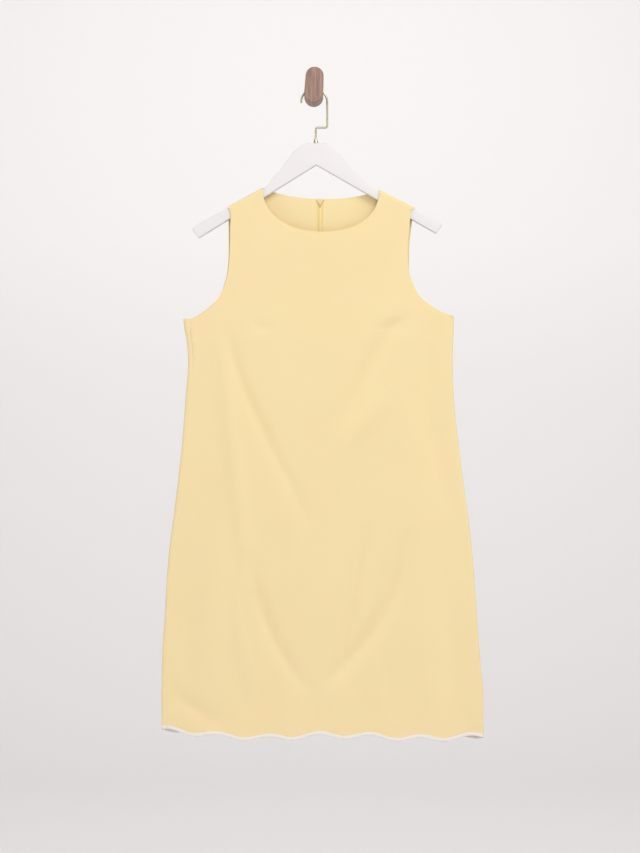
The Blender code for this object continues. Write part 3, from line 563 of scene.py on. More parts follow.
def back_right_columns(z):
    """s of each column of the right back, from the right side seam in to the centre back."""
    counts = (OUTER_COLUMNS, len(NECK_CORNER), MIDDLE_COLUMNS)
    seam_in = RIGHT_SEAM_INSET + CLOTH_GAP / 2
    return spread(z, lambda level: right_flat_end(level) - seam_in,
                  lambda level: CENTRE_BACK_X + CLOTH_GAP / 2, RIGHT_MARKS, counts)


def hem_height(s, face):
    """Height of the cut edge at the hem, whose scallops run on round both sides."""
    foot = LEVELS[0][0]
    turn = math.pi * SIDE_TURN
    left, right = LEFT_EDGE(foot) + SIDE_TURN, RIGHT_EDGE(foot) - SIDE_TURN
    around = s
    if face > 0:
        around = 2 * left - turn - s if s < CENTRE_BACK_X else 2 * right + turn - s
    pitch = 2 * (right - left + turn) / SCALLOPS
    phase = math.pi * (around - SCALLOP_CREST_X) / pitch
    return HEM_CREST(ring_point(s, foot, face)[0]) - SCALLOP_DEPTH * math.sin(phase) ** 2


def body_rows(columns_at, face):
    """Rows of places, as s and z, from the hem up to the underarm."""
    foot = LEVELS[0][0]
    edge = [(s, hem_height(s, face)) for s in columns_at(foot)]
    rows = [edge, [(s, z + BINDING_HIGH / 2) for s, z in edge], [(s, z + BINDING_HIGH) for s, z in edge]]
    for i in range(1, BODY_ROWS + 1):
        t = i / BODY_ROWS
        level = blend(foot + BODY_FOOT_RISE, PIT_Z, t)
        row = [(s, blend(z, PIT_Z, t)) for s, (_, z) in zip(columns_at(level), rows[2])]
        rows.append(row)
    return rows


def neckline(t, face):
    x = blend(NECKS[0][0], NECKS[1][0], (t + 1) / 2)
    level = blend(NECKS[0][1], NECKS[1][1], (t + 1) / 2)
    if face < 0:
        return x, level - FRONT_NECK_DROP * (1 - abs(t) ** FRONT_NECK_POWER) ** (1 / FRONT_NECK_POWER)
    return x, level - BACK_NECK_DROP * (1 - abs(t) ** BACK_NECK_POWER)


def neck_run(first, last, count, face):
    """Points along the neckline, closer together beside a neck point, where the cloth turns."""
    angles = columns_between(math.acos(-first), math.acos(-last), NECK_SAMPLES)
    fine = [neckline(-math.cos(a), face) for a in angles]
    gone = [0.0]
    for here, after in zip(fine, fine[1:]):
        gone.append(gone[-1] + math.dist(here, after))
    near = [0.0] + [d for d in NECK_CORNER if abs(first) == 1]
    far = [gone[-1] - d for d in reversed(NECK_CORNER) if abs(last) == 1] + [gone[-1]]
    wide = columns_between(near[-1], far[0], count + 2 - len(near) - len(far))
    run = []
    for distance in near + wide[1:-1] + far:
        i = min(sum(1 for d in gone[1:] if d < distance), len(fine) - 2)
        run.append(mix(fine[i], fine[i + 1], (distance - gone[i]) / (gone[i + 1] - gone[i])))
    return run


def shoulder_run(start, stop, count):
    return [mix(start, stop, i / count) for i in range(count + 1)]


def armhole(column, tip, foot, low=PIT_Z):
    """The curve of an armhole's edge, for v from 0 at a lower level to 1 at the shoulder tip."""
    rows = [(row[0], row[column]) for row in ARMHOLES]
    rows.append((tip[1], tip[0]))
    edge = through(rows, 1)
    start = rows[0][0]

    def place(v):
        z = blend(low, tip[1], v)
        if z < start:
            return blend(foot, edge(start), (z - PIT_Z) / (start - PIT_Z)), z
        return edge(z), z

    return place


def inward_step(x):
    """The step from a top edge into the cloth that ends one millimetre under the shoulder line."""
    side = -1 if x < (NECKS[0][0] + NECKS[1][0]) / 2 else 1
    neck, tip = (NECKS[0], TIPS[0]) if side < 0 else (NECKS[1], TIPS[1])
    lean = NECK_LEAN * max(0.0, 1 - abs(x - neck[0]) / NECK_LEAN_RUN)
    step = Vector((side * math.sin(lean), -math.cos(lean)))
    along = (Vector(neck) - Vector(tip)).normalized()
    return tuple(step / step.dot(Vector((-side * along.y, side * along.x))))


def sunk(edge, steps, distances):
    return [(x + u * d, z + w * d) for (x, z), (u, w), d in zip(edge, steps, distances)]


def fading(line, reach):
    """Weights that fall from 1 at a line's first place to 0 at the one that reach counts to."""
    start, stop = line[0][0], line[reach][0]
    return [min(max((stop - s) / (stop - start), 0.0), 1.0) for s, _ in line]


def yoke_rows(low, high, left, right, count, reach):
    """Rows of places above a lower line, up to a shaped upper one, between two side curves."""
    from_left = fading(low, reach[0])
    from_right = fading(low[::-1], reach[1])[::-1]
    rows = []
    for i in range(1, count + 1):
        v = (i / count) ** YOKE_CROWDING
        a = mix(left(v), high[0], v ** EDGE_TURN_POWER)
        b = mix(right(v), high[-1], v ** EDGE_TURN_POWER)
        pull_a = [p - q for p, q in zip(a, mix(low[0], high[0], v))]
        pull_b = [p - q for p, q in zip(b, mix(low[-1], high[-1], v))]
        row = []
        for start, end, near, far in zip(low, high, from_left, from_right):
            here = mix(start, end, v)
            row.append(tuple(p + near * q + far * r for p, q, r in zip(here, pull_a, pull_b)))
        rows.append(row)
    return rows


def panel_rows(columns_at, face, top, left, right, first, last, reach):
    rows = body_rows(columns_at, face)
    steps = [inward_step(x) for x, _ in top]
    for j in range(TIP_COLUMNS):
        steps[j] = mix(first, steps[j], j / TIP_COLUMNS)
        steps[-1 - j] = mix(last, steps[-1 - j], j / TIP_COLUMNS)
    top_at = [sunk(top, steps, [d] * len(top)) for d in SHOULDER_ROWS]
    return rows + yoke_rows(rows[-1], top_at[0], left, right, YOKE_ROWS, reach) + top_at[1:]


def down_along(place, tip):
    return tuple((Vector(place) - Vector(tip)).normalized())


def plumb(x, low, high):
    return lambda v: (x, blend(low, high, v))


def half_neck():
    return MIDDLE_COLUMNS + len(NECK_CORNER)


def front_rows():
    pit = front_columns(PIT_Z)
    left = armhole(1, TIPS[0], pit[0])
    right = armhole(2, TIPS[1], pit[-1])
    right_count = OUTER_COLUMNS + TURN_COLUMNS + 1
    top = shoulder_run(TIPS[0], NECKS[0], OUTER_COLUMNS)[:-1]
    top += neck_run(-1, 1, 2 * half_neck(), -1)
    top += shoulder_run(NECKS[1], TIPS[1], right_count)[1:]
    first, last = down_along(left(NEAR_TIP), TIPS[0]), down_along(right(NEAR_TIP), TIPS[1])
    reach = (OUTER_COLUMNS, right_count)
    return panel_rows(front_columns, -1, top, left, right, first, last, reach)


def neck_place(x):
    return 2 * (x - NECKS[0][0]) / (NECKS[1][0] - NECKS[0][0]) - 1


def back_top(x, side, shoulder_count):
    neck, tip = (NECKS[0], TIPS[0]) if side < 0 else (NECKS[1], TIPS[1])
    run = neck_run(neck_place(x), side, half_neck(), 1)
    return run + shoulder_run(neck, tip, shoulder_count)[1:]


def back_left_rows():
    pit = back_left_columns(PIT_Z)
    count = OUTER_COLUMNS + TURN_COLUMNS + 1
    top = back_top(pit[0], -1, count)
    side = armhole(3, TIPS[0], pit[-1])
    middle = plumb(pit[0], PIT_Z, top[0][1])
    last = down_along(side(NEAR_TIP), TIPS[0])
    return panel_rows(back_left_columns, 1, top, middle, side, (0.0, -1.0), last, (1, count))


def back_right_rows():
    pit = back_right_columns(PIT_Z)
    top = back_top(pit[-1], 1, OUTER_COLUMNS)[::-1]
    side = armhole(4, TIPS[1], pit[0])
    middle = plumb(pit[-1], PIT_Z, top[-1][1])
    first = down_along(side(NEAR_TIP), TIPS[1])
    reach = (OUTER_COLUMNS, 1)
    return panel_rows(back_right_columns, 1, top, side, middle, first, (0.0, -1.0), reach)


def room_under_arm(x, z):
    return FACING_ARM_EASE * max(0.0, FACING_ARM_DROP - below_shoulders(x, z))


def facing_rows(side):
    """The facing inside one back, whose inner edge leaves room for the zip's tape."""
    x = CENTRE_BACK_X + side * (COIL_WIDE / 2 + TAPE_WIDE - FACING_OVER_TAPE)
    column, tip, marks = (3, TIPS[0], LEFT_MARKS) if side < 0 else (4, TIPS[1], RIGHT_MARKS)
    edge = back_top(x, side, OUTER_COLUMNS)
    top = [(s, z - FACING_NECK_DROP - room_under_arm(s, z)) for s, z in edge]
    hole = armhole(column, (tip[0] - side * FACING_INSET, top[-1][1]), 0.0, FACING_FOOT_Z)

    def side_edge(v):
        out, z = hole(v)
        return out - side * FACING_INSET * (1 - v), z

    stops = [x, marks[1] * FACING_MARKS, marks[0] * FACING_MARKS, side_edge(0)[0]]
    columns = columns_through(stops, (MIDDLE_COLUMNS, len(NECK_CORNER), OUTER_COLUMNS))
    foot = [(s, FACING_FOOT_Z) for s in columns]
    middle = plumb(x, FACING_FOOT_Z, top[0][1])
    rows = [foot] + yoke_rows(foot, top, middle, side_edge, FACING_ROWS, (1, OUTER_COLUMNS))
    return rows if side < 0 else [row[::-1] for row in rows]


# meshes


def linked(name, data):
    made = bpy.data.objects.new(name, data)
    bpy.context.scene.collection.objects.link(made)
    return made


def finished_mesh(name, work):
    """The mesh of a bmesh that is done with."""
    mesh = bpy.data.meshes.new(name)
    work.to_mesh(mesh)
    work.free()
    return mesh


def evaluated_mesh(made):
    depsgraph = bpy.context.evaluated_depsgraph_get()
    return bpy.data.meshes.new_from_object(made.evaluated_get(depsgraph))


def add_spline(shape, places, closed=False):
    spline = shape.splines.new("POLY")
    spline.points.add(len(places) - 1)
    for point, place in zip(spline.points, places):
        point.co = (*(c * MM for c in place), 1.0)
    spline.use_cyclic_u = closed


def piece(name, mesh, material, body="dress"):
    """A finished piece: its object at the origin, with its material and the body it moves with."""
    made = linked(name, mesh)
    made.data.materials.clear()
    made.data.materials.append(material)
    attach(made, body)
    return made


def sheet_mesh(name, points, threads):
    """An open sheet through a grid of points, whose UV map holds each corner's place in metres of
    cloth, so that a weave keeps its size."""
    columns = len(points[0])
    sheet = bmesh.new()
    uv = sheet.loops.layers.uv.new("threads")
    corners = [[sheet.verts.new(Vector(p) * MM) for p in row] for row in points]
    for j, (low, high) in enumerate(zip(corners, corners[1:])):
        for i in range(columns - 1):
            face = sheet.faces.new((low[i], low[i + 1], high[i + 1], high[i]))
            face.smooth = True
            places = (threads[j][i], threads[j][i + 1], threads[j + 1][i + 1], threads[j + 1][i])
            for loop, (s, z) in zip(face.loops, places):
                loop[uv].uv = (s * MM, z * MM)
    for edge in sheet.edges:
        edge.smooth = not edge.is_boundary      # or the cut edges shade like rolled ones
    return finished_mesh(name, sheet)


def walled(made, wall):
    step = made.modifiers.new("cloth wall", "SOLIDIFY")
    step.thickness = wall
    step.offset = -1
    return made


def groove(s, z, seams):
    """How far the cloth dips beside the seams that run through given values of s at a height."""
    total = 0.0
    for seam_at, wide in seams:
        share = deeper_above(z) if seam_at in (front_left_seam, back_left_seam) else 1.0
        total += share * math.exp(-((s - seam_at(z)) / wide) ** 2)
    return total * sizes().seam_groove / MM


def cloth_panel(name, rows, face, seams, material, node):
    points = []
    for row in rows:
        points.append([ring_point(s, z, face, groove(s, z, seams)) for s, z in row])
    made = piece(name, sheet_mesh(name, points, rows), material)
    walled(made, sizes().cloth_wall)
    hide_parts(node)
    return made


def front_left_seam(z):
    return left_flat_end(z) + left_inset(z)


def deeper_above(z):
    """The left side seam shows as a groove only under the arm, and nearly closes further down."""
    return blend(SEAM_FAINT, SEAM_DEEP, smooth((z - SEAM_DEEP_FROM_Z) / SEAM_DEEP_RUN))


def front_right_seam(z):
    return turn_end(z, 1, RIGHT_SEAM_INSET)


def back_left_seam(z):
    return turn_end(z, -1, left_inset(z))


def back_right_seam(z):
    return right_flat_end(z) - RIGHT_SEAM_INSET


def centre_back(z):
    return CENTRE_BACK_X


def first_layer_in():
    """How far in from the cloth's outer side the layers inside it begin."""
    return sizes().cloth_wall / MM + SEAM_GAP


def inner_sheet(name, rows, wall, material):
    points = [[ring_point(s, z, 1, first_layer_in()) for s, z in row] for row in rows]
    made = piece(name, sheet_mesh(name, points, rows), material)
    return walled(made, wall * MM)


def surface_normal(s, z, face):
    here = Vector(ring_point(s, z, face))
    along = Vector(ring_point(s + NORMAL_STEP, z, face)) - here
    up = Vector(ring_point(s, z + NORMAL_STEP, face)) - here
    return (along.cross(up) * -face).normalized()


def binding_section():
    """The folded strip's section, as distance out of the cloth and height over its edge."""
    gap, wall = SEAM_GAP, sizes().binding_wall / MM
    cloth = sizes().cloth_wall / MM
    out, inn = gap + wall, -(cloth + gap + wall)
    mid, half = (out + inn) / 2, (out - inn) / 2
    section = [(out - BINDING_BEVEL, BINDING_HIGH), (out, BINDING_HIGH - BINDING_LIP)]
    section += [(mid + half * math.cos(a), half * BINDING_ROLL * math.sin(a) - gap)
                for a in (math.radians(-d) for d in range(0, 181, 30))]
    section += [(inn, BINDING_HIGH - BINDING_LIP), (inn + BINDING_BEVEL, BINDING_HIGH)]
    section += [(inn + wall, BINDING_HIGH), (inn + wall, -gap), (gap, -gap), (gap, BINDING_HIGH)]
    return section


def binding(name, rows, face, material, node):
    """The folded strip over the hem's edge, lofted along it."""
    strip = bmesh.new()
    uv = strip.loops.layers.uv.new("threads")
    section = binding_section()
    gone, rings = [0.0], []
    for (s, z), (_, z_up) in zip(rows[0], rows[2]):
        foot, head = Vector(ring_point(s, z, face)), Vector(ring_point(s, z_up, face))
        up = (head - foot).normalized()
        normal = surface_normal(s, z, face)
        rings.append([strip.verts.new((foot + normal * n + up * h) * MM) for n, h in section])
    for ring, after in zip(rings, rings[1:]):
        gone.append(gone[-1] + (after[0].co - ring[0].co).length)
    count = len(section)
    for k, (ring, after) in enumerate(zip(rings, rings[1:])):
        for i in range(count):
            j = (i + 1) % count
            quad = strip.faces.new((ring[i], ring[j], after[j], after[i]))
            quad.smooth = i < count - 4
            ends = ((gone[k], i), (gone[k], i + 1), (gone[k + 1], i + 1), (gone[k + 1], i))
            for loop, (u, v) in zip(quad.loops, ends):
                loop[uv].uv = (u, v * MM)
    for ring in (rings[0], rings[-1]):
        strip.faces.new(ring[:2] + ring[-2:])
        strip.faces.new(ring[1:-3] + [ring[-3], ring[-2]])
    bmesh.ops.triangulate(strip, faces=[f for f in strip.faces if len(f.verts) > 4])
    bmesh.ops.recalc_face_normals(strip, faces=strip.faces[:])
    made = piece(name, finished_mesh(name, strip), material)
    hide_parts(node)
    return made


def flat_curve(name, outline, thick, edge):
    """A flat shape from a closed outline, thickened, with rounded edges."""
    shape = bpy.data.curves.new(name, "CURVE")
    shape.dimensions = "2D"
    shape.fill_mode = "BOTH"
    shape.extrude = (thick / 2 - edge) * MM
    shape.bevel_depth = edge * MM
    shape.bevel_resolution = 4
    shape.offset = -edge * MM
    add_spline(shape, [(x, z, 0.0) for x, z in outline], True)
    return shape


def curve_to_mesh(name, shape, turn=0.0, move=(0.0, 0.0, 0.0)):
    """A curve made into a clean mesh, turned about X and moved, with smooth sides."""
    holder = linked(name, shape)
    holder.rotation_euler.x = turn
    holder.location = Vector(move) * MM
    bpy.context.view_layer.update()
    mesh = evaluated_mesh(holder)
    mesh.transform(holder.matrix_world)
    bpy.data.objects.remove(holder, do_unlink=True)
    bpy.data.curves.remove(shape)
    clean = bmesh.new()
    clean.from_mesh(mesh)
    bmesh.ops.remove_doubles(clean, verts=clean.verts[:], dist=0.00001)
    bmesh.ops.recalc_face_normals(clean, faces=clean.faces[:])
    clean.to_mesh(mesh)
    clean.free()
    mesh.name = name
    mesh.shade_smooth()
    mesh.set_sharp_from_angle(angle=SHARP_ANGLE)
    return mesh


def arc(centre, radius, start, stop, count):
    angles = [math.radians(a) for a in columns_between(start, stop, count)]
    return [(centre[0] + radius * math.cos(a), centre[1] + radius * math.sin(a)) for a in angles]


def hanger_half():
    neck_top = through(HANGER_NECK, 1)
    outs = columns_between(HANGER_NECK[0][0], HANGER_NECK[-1][0], 40)
    upper = [(out, neck_top(out)) for out in outs]
    tip = ARM_REACH
    foot = tip - ARM_END_LEAN
    under = -ARM_UNDER_SLOPE * foot
    end = [(tip - ARM_END_ROUND, arm_top(tip - ARM_END_ROUND))]
    end += [(tip + out, arm_top(tip) + up) for out, up in ARM_TIP_CORNER]
    end += [(foot + out, under + up) for out, up in ARM_FOOT_CORNER]
    return upper + end


def hook_route():
    """The hook's middle line: stem, square step, upright and the loop over the peg."""
    top = on_hanger(STEM_X - HANGER_X, HANGER_NECK[0][1])[1]
    bend = HOOK_BEND_R
    route = [(STEM_X, top + SEAM_GAP), (STEM_X, STEP_Z - bend)]
    route += arc((STEM_X + bend, STEP_Z - bend), bend, 180, 90, 8)[1:]
    route += arc((LOOP_R - bend, STEP_Z + bend), bend, 270, 360, 8)
    route += arc((0.0, LOOP_Z), LOOP_R, 0, HOOK_SWEEP, 60)
    return route


def wire(name, route, radius, material):
    """A round wire along a route of points in millimetres."""
    shape = bpy.data.curves.new(name, "CURVE")
    shape.dimensions = "3D"
    shape.bevel_depth = radius * MM
    shape.bevel_resolution = 4
    shape.use_fill_caps = True
    add_spline(shape, route)
    return piece(name, curve_to_mesh(name, shape), material)


def lathe(name, profile, centre, material):
    """A turned piece from a closed profile of radius and height, about an upright axis."""
    turned = bmesh.new()
    rings = []
    steps = 48
    for k in range(steps):
        a = 2 * math.pi * k / steps
        rings.append([turned.verts.new(Vector((centre[0] + r * math.cos(a), centre[1] + r * math.sin(a),
                                               centre[2] + h)) * MM) for r, h in profile])
    for k, ring in enumerate(rings):
        after = rings[(k + 1) % steps]
        for i in range(len(profile)):
            j = (i + 1) % len(profile)
            turned.faces.new((ring[i], ring[j], after[j], after[i])).smooth = True
    bmesh.ops.recalc_face_normals(turned, faces=turned.faces[:])
    mesh = finished_mesh(name, turned)
    mesh.set_sharp_from_angle(angle=math.radians(35))
    return piece(name, mesh, material)


# Geometry Nodes for what repeats


def add_node(tree, kind, values=(), links=()):
    """A node with its settings or input values, and the sockets that feed its inputs."""
    made = tree.nodes.new(kind)
    for key, value in dict(values).items():
        if isinstance(key, str) and key.islower():
            setattr(made, key, value)
        else:
            made.inputs[key].default_value = value
    for key, source in dict(links).items():
        tree.links.new(source, made.inputs[key])
    return made


def along_path_tree(name, shape):
    """A tree that sets a small closed shape along a path, turned to follow it."""
    tree = bpy.data.node_groups.new(name, "GeometryNodeTree")
    tree.interface.new_socket("Geometry", in_out="INPUT", socket_type="NodeSocketGeometry")
    for label in ("Pitch", "Length", "Width", "Height"):
        tree.interface.new_socket(label, in_out="INPUT", socket_type="NodeSocketFloat")
    tree.interface.new_socket("Material", in_out="INPUT", socket_type="NodeSocketMaterial")
    tree.interface.new_socket("Geometry", in_out="OUTPUT", socket_type="NodeSocketGeometry")
    given = add_node(tree, "NodeGroupInput")
    path = add_node(tree, "GeometryNodeMeshToCurve", links={"Mesh": given.outputs["Geometry"]})
    points = add_node(tree, "GeometryNodeCurveToPoints", {"mode": "LENGTH"},
                      {"Curve": path.outputs["Curve"], "Length": given.outputs["Pitch"]})
    size_of = add_node(tree, "ShaderNodeCombineXYZ",
                       links={"X": given.outputs["Width"], "Y": given.outputs["Height"],
                              "Z": given.outputs["Length"]})
    if shape == "tooth":
        small = add_node(tree, "GeometryNodeMeshCube", {"Vertices " + axis: 2 for axis in "XYZ"})
        rounder = add_node(tree, "GeometryNodeSubdivisionSurface", {"Level": 1},
                           {"Mesh": small.outputs["Mesh"]})
        body = rounder.outputs["Mesh"]
    else:
        small = add_node(tree, "GeometryNodeMeshIcoSphere", {"Radius": 0.5, "Subdivisions": 1})
        body = small.outputs["Mesh"]
    sized = add_node(tree, "GeometryNodeTransform", links={"Geometry": body, "Scale": size_of.outputs[0]})
    placed = add_node(tree, "GeometryNodeInstanceOnPoints", {},
                      {"Points": points.outputs["Points"], "Instance": sized.outputs["Geometry"],
                       "Rotation": points.outputs["Rotation"]})
    real = add_node(tree, "GeometryNodeRealizeInstances", links={"Geometry": placed.outputs["Instances"]})
    dressed = add_node(tree, "GeometryNodeSetMaterial",
                       links={"Geometry": real.outputs["Geometry"], "Material": given.outputs["Material"]})
    result = add_node(tree, "NodeGroupOutput")
    tree.links.new(dressed.outputs["Geometry"], result.inputs["Geometry"])
    return tree


def along_path(name, routes, shape, pitch, long, wide, high, material):
    """Small shapes set along one or more routes, made into one plain mesh."""
    lines = bmesh.new()
    for route in routes:
        corners = [lines.verts.new(Vector(p) * MM) for p in route]
        for a, b in zip(corners, corners[1:]):
            lines.edges.new((a, b))
    carrier = linked(name + "_path", finished_mesh(name + "_path", lines))
    tree = along_path_tree(name + " layout", shape)
    step = carrier.modifiers.new("layout", "NODES")
    step.node_group = tree
    given = {"Pitch": pitch, "Length": long, "Width": wide, "Height": high, "Material": material}
    for socket in tree.interface.items_tree:
        if socket.in_out == "INPUT" and socket.name in given:
            step[socket.identifier] = given[socket.name]
    bpy.context.view_layer.update()
    mesh = evaluated_mesh(carrier)
    carrier.modifiers.remove(step)
    bpy.data.objects.remove(carrier, do_unlink=True)
    mesh.name = name
    mesh.shade_smooth()
    made = piece(name, mesh, material)
    return made


# materials


def material(name, colour, roughness, metallic=0.0, **constants):
    """A new material with its tree, its shader and the places that its textures may use;
    constants are values of the shader's own sockets."""
    made = bpy.data.materials.new(name)
    made.use_nodes = True
    tree = made.node_tree
    shader = tree.nodes["Principled BSDF"]
    shader.inputs["Base Color"].default_value = (*colour, 1.0)
    shader.inputs["Roughness"].default_value = roughness
    shader.inputs["Metallic"].default_value = metallic
    for key, value in constants.items():
        shader.inputs[key.replace("_", " ")].default_value = value
    return made, tree, shader, add_node(tree, "ShaderNodeTexCoord").outputs


def tinted(colour, factor):
    return (*(min(1.0, c * f) for c, f in zip(colour, factor)), 1.0)


def stretched(tree, place, scale):
    return add_node(tree, "ShaderNodeMapping", {"Scale": scale}, {"Vector": place}).outputs["Vector"]


def noise(tree, place, scale, detail=2.0, roughness=0.5, distortion=0.0):
    values = {"Scale": scale, "Detail": detail, "Roughness": roughness, "Distortion": distortion}
    return add_node(tree, "ShaderNodeTexNoise", values, {"Vector": place}).outputs["Fac"]


def waves(tree, place, direction, pitch_mm, distortion, detail_scale=1.0):
    values = {"bands_direction": direction, "Scale": WAVE_MM / pitch_mm, "Distortion": distortion,
              "Detail": 2.0, "Detail Scale": detail_scale}
    return add_node(tree, "ShaderNodeTexWave", values, {"Vector": place}).outputs["Fac"]


def maths(tree, operation, sources, values=()):
    made = add_node(tree, "ShaderNodeMath", {"operation": operation, **dict(values)}, sources)
    return made.outputs[0]


def ranged(tree, value, low, high, start=0.0, stop=1.0):
    limits = {"From Min": start, "From Max": stop, "To Min": low, "To Max": high}
    return add_node(tree, "ShaderNodeMapRange", limits, {"Value": value}).outputs["Result"]


def ramp(tree, value, low, high, start=0.0, stop=1.0):
    """A colour that runs from low at one value to high at another."""
    made = add_node(tree, "ShaderNodeValToRGB", links={"Fac": value})
    for element, position, colour in zip(made.color_ramp.elements, (start, stop), (low, high)):
        element.position = position
        element.color = colour
    return made.outputs["Color"]


def bumped(tree, shader, height, strength, distance):
    bump = add_node(tree, "ShaderNodeBump", {"Strength": strength, "Distance": distance},
                    {"Height": height})
    tree.links.new(bump.outputs["Normal"], shader.inputs["Normal"])


def coloured(made, tone):
    """The finished material, with a colour linked to its shader."""
    tree = made.node_tree
    tree.links.new(tone, tree.nodes["Principled BSDF"].inputs["Base Color"])
    return made


def crepe(name, colour):
    """Wool-mix crepe, plain woven and matt: a pebbled face, a soft bloom at grazing angles, and a
    tone that drifts a little over the cloth. Its real threads are 0.5 mm apart and too fine to show,
    so they are drawn three times as coarse."""
    made, tree, shader, place = material(
        name, colour, 0.86, Sheen_Weight=0.12, Sheen_Roughness=0.45, Specular_IOR_Level=0.25,
        Subsurface_Weight=0.25, Subsurface_Radius=(1.0, 0.85, 0.6), Subsurface_Scale=0.0015)
    across, along = (waves(tree, place["UV"], way, 1.7, 1.4, 1.5) for way in ("X", "Y"))
    weave = maths(tree, "MULTIPLY", {0: across, 1: along})
    pebble = noise(tree, place["Object"], 900.0, 3.0, 0.6)
    bumped(tree, shader, maths(tree, "ADD", {0: weave, 1: pebble}), 0.12, 0.0006)
    tone = ramp(tree, noise(tree, place["Object"], 7.0), tinted(colour, (0.995, 0.99, 0.98)),
                tinted(colour, (1.003, 1.005, 1.01)), 0.3, 0.7)
    speck = ranged(tree, pebble, 0.98, 1.015, 0.2, 0.8)
    cloth = add_node(tree, "ShaderNodeMix", {"data_type": "RGBA", "blend_type": "MULTIPLY", 0: 1.0},
                     {6: tone, 7: speck})
    return coloured(made, cloth.outputs[2])


def ribbed_tape(name, colour, rib_mm, direction="X"):
    """Woven polyester tape: fine ribs along its length, a little smoother than the dress cloth."""
    made, tree, shader, place = material(name, colour, 0.7, Sheen_Weight=0.1)
    ribs = waves(tree, place["UV"], direction, rib_mm, 0.6)
    bumped(tree, shader, ribs, 0.3, 0.0003)
    # painted shade: the troughs between the ribs are coloured darker and warmer
    tone = ramp(tree, ribs, tinted(colour, (0.94, 0.93, 0.9)), tinted(colour, WHITE))
    return coloured(made, tone)


def smooth_plastic(name, colour):
    """Drawn nylon: smooth and slightly shiny, with faint mottling from its dye."""
    made, tree, shader, place = material(name, colour, 0.5, IOR=1.53)
    mottle = noise(tree, place["Object"], 400.0)
    tone = ramp(tree, mottle, tinted(colour, (0.93, 0.92, 0.9)), tinted(colour, (1.02, 1.02, 1.02)))
    return coloured(made, tone)


def enamelled_zinc(name, colour):
    """Die-cast zinc under baked enamel: even and glossy, with a faint orange-peel surface."""
    made, tree, shader, place = material(name, colour, 0.32, Coat_Weight=0.3, Coat_Roughness=0.15)
    peel = noise(tree, place["Object"], 1600.0)
    bumped(tree, shader, peel, 0.15, 0.0001)
    tree.links.new(ranged(tree, peel, 0.26, 0.42), shader.inputs["Roughness"])
    return made


def satin_paint(name, colour):
    """Sprayed satin paint on beech: near white, with the wood's pores just telling through it."""
    made, tree, shader, place = material(name, colour, 0.42, IOR=1.5)
    grain = stretched(tree, place["Object"], (60.0, 900.0, 900.0))
    bumped(tree, shader, noise(tree, grain, 1.0, 4.0, 0.6), 0.12, 0.0003)
    cloud = noise(tree, place["Object"], 25.0)
    tone = ramp(tree, cloud, tinted(colour, (0.965, 0.96, 0.955)), tinted(colour, WHITE))
    return coloured(made, tone)


def drawn_brass(name, colour):
    """Drawn brass wire, lightly tarnished: bright, with soft cloudy patches."""
    made, tree, shader, place = material(name, colour, 0.28, 1.0)
    cloud = noise(tree, place["Object"], 120.0, 4.0)
    tone = ramp(tree, cloud, tinted(colour, (0.78, 0.74, 0.68)), tinted(colour, WHITE), 0.35, 0.6)
    tree.links.new(ranged(tree, cloud, 0.2, 0.4), shader.inputs["Roughness"])
    return coloured(made, tone)


def oiled_walnut(name, dark, light):
    """Oiled walnut, planed: long upright streaks 1 to 4 mm wide, fine pores and a dull shine."""
    made, tree, shader, place = material(name, light, 0.48, IOR=1.5)
    streaks = stretched(tree, place["Object"], (230.0, 90.0, 14.0))
    bands = noise(tree, streaks, 1.0, 5.0, 0.6, 0.4)
    pores = noise(tree, stretched(tree, place["Object"], (1500.0, 900.0, 60.0)), 1.0)
    height = maths(tree, "MULTIPLY_ADD", {0: pores, 2: bands}, {1: 0.35})
    tone = ramp(tree, height, (*dark, 1.0), (*light, 1.0), 0.5, 0.82)
    bumped(tree, shader, height, 0.2, 0.0003)
    return coloured(made, tone)


def studio_paper(name, colour):
    """Matt seamless paper for the floor and backdrop: pale, with painted shade that makes it a little
    deeper towards the floor.
    """
    made, tree, shader, place = material(name, colour, 0.95)
    parts = add_node(tree, "ShaderNodeSeparateXYZ", links={"Vector": place["Object"]})
    # painted shade: the paper is coloured darker towards the floor
    rise = ranged(tree, parts.outputs["Z"], 0.0, 1.0, FLOOR_Z, PAPER_SHADE_TOP_Z)
    tone = ramp(tree, rise, tinted(colour, (0.86, 0.85, 0.86)), tinted(colour, WHITE))
    return coloured(made, tone)


def ready(name, recipe, *given):
    """A material by name, made by its recipe on first use."""
    return bpy.data.materials.get(name) or recipe(name, *given)


def brass():
    return ready("drawn_brass", drawn_brass, colours().brass)


# operators


class DRESS_OT_panels(bpy.types.Operator):
    """Build the front and the two backs as thin cloth shells with their hanging folds"""

    bl_idname = "dress.panels"
    bl_label = "Cloth panels"

    def execute(self, context):
        cloth = ready("butter_crepe", crepe, colours().cloth)
        wide = GROOVE_WIDE
        front_seams = [(front_left_seam, wide), (front_right_seam, wide)]
        front = cloth_panel("front_cloth", front_rows(), -1, front_seams, cloth, "front_panel")
        left_seams = [(back_left_seam, wide), (centre_back, wide)]
        left = cloth_panel("back_left_cloth", back_left_rows(), 1, left_seams, cloth, "back_panel_left")
        right_seams = [(back_right_seam, wide), (centre_back, wide)]
        right = cloth_panel("back_right_cloth", back_right_rows(), 1, right_seams, cloth,
                            "back_panel_right")
        return {"FINISHED"}


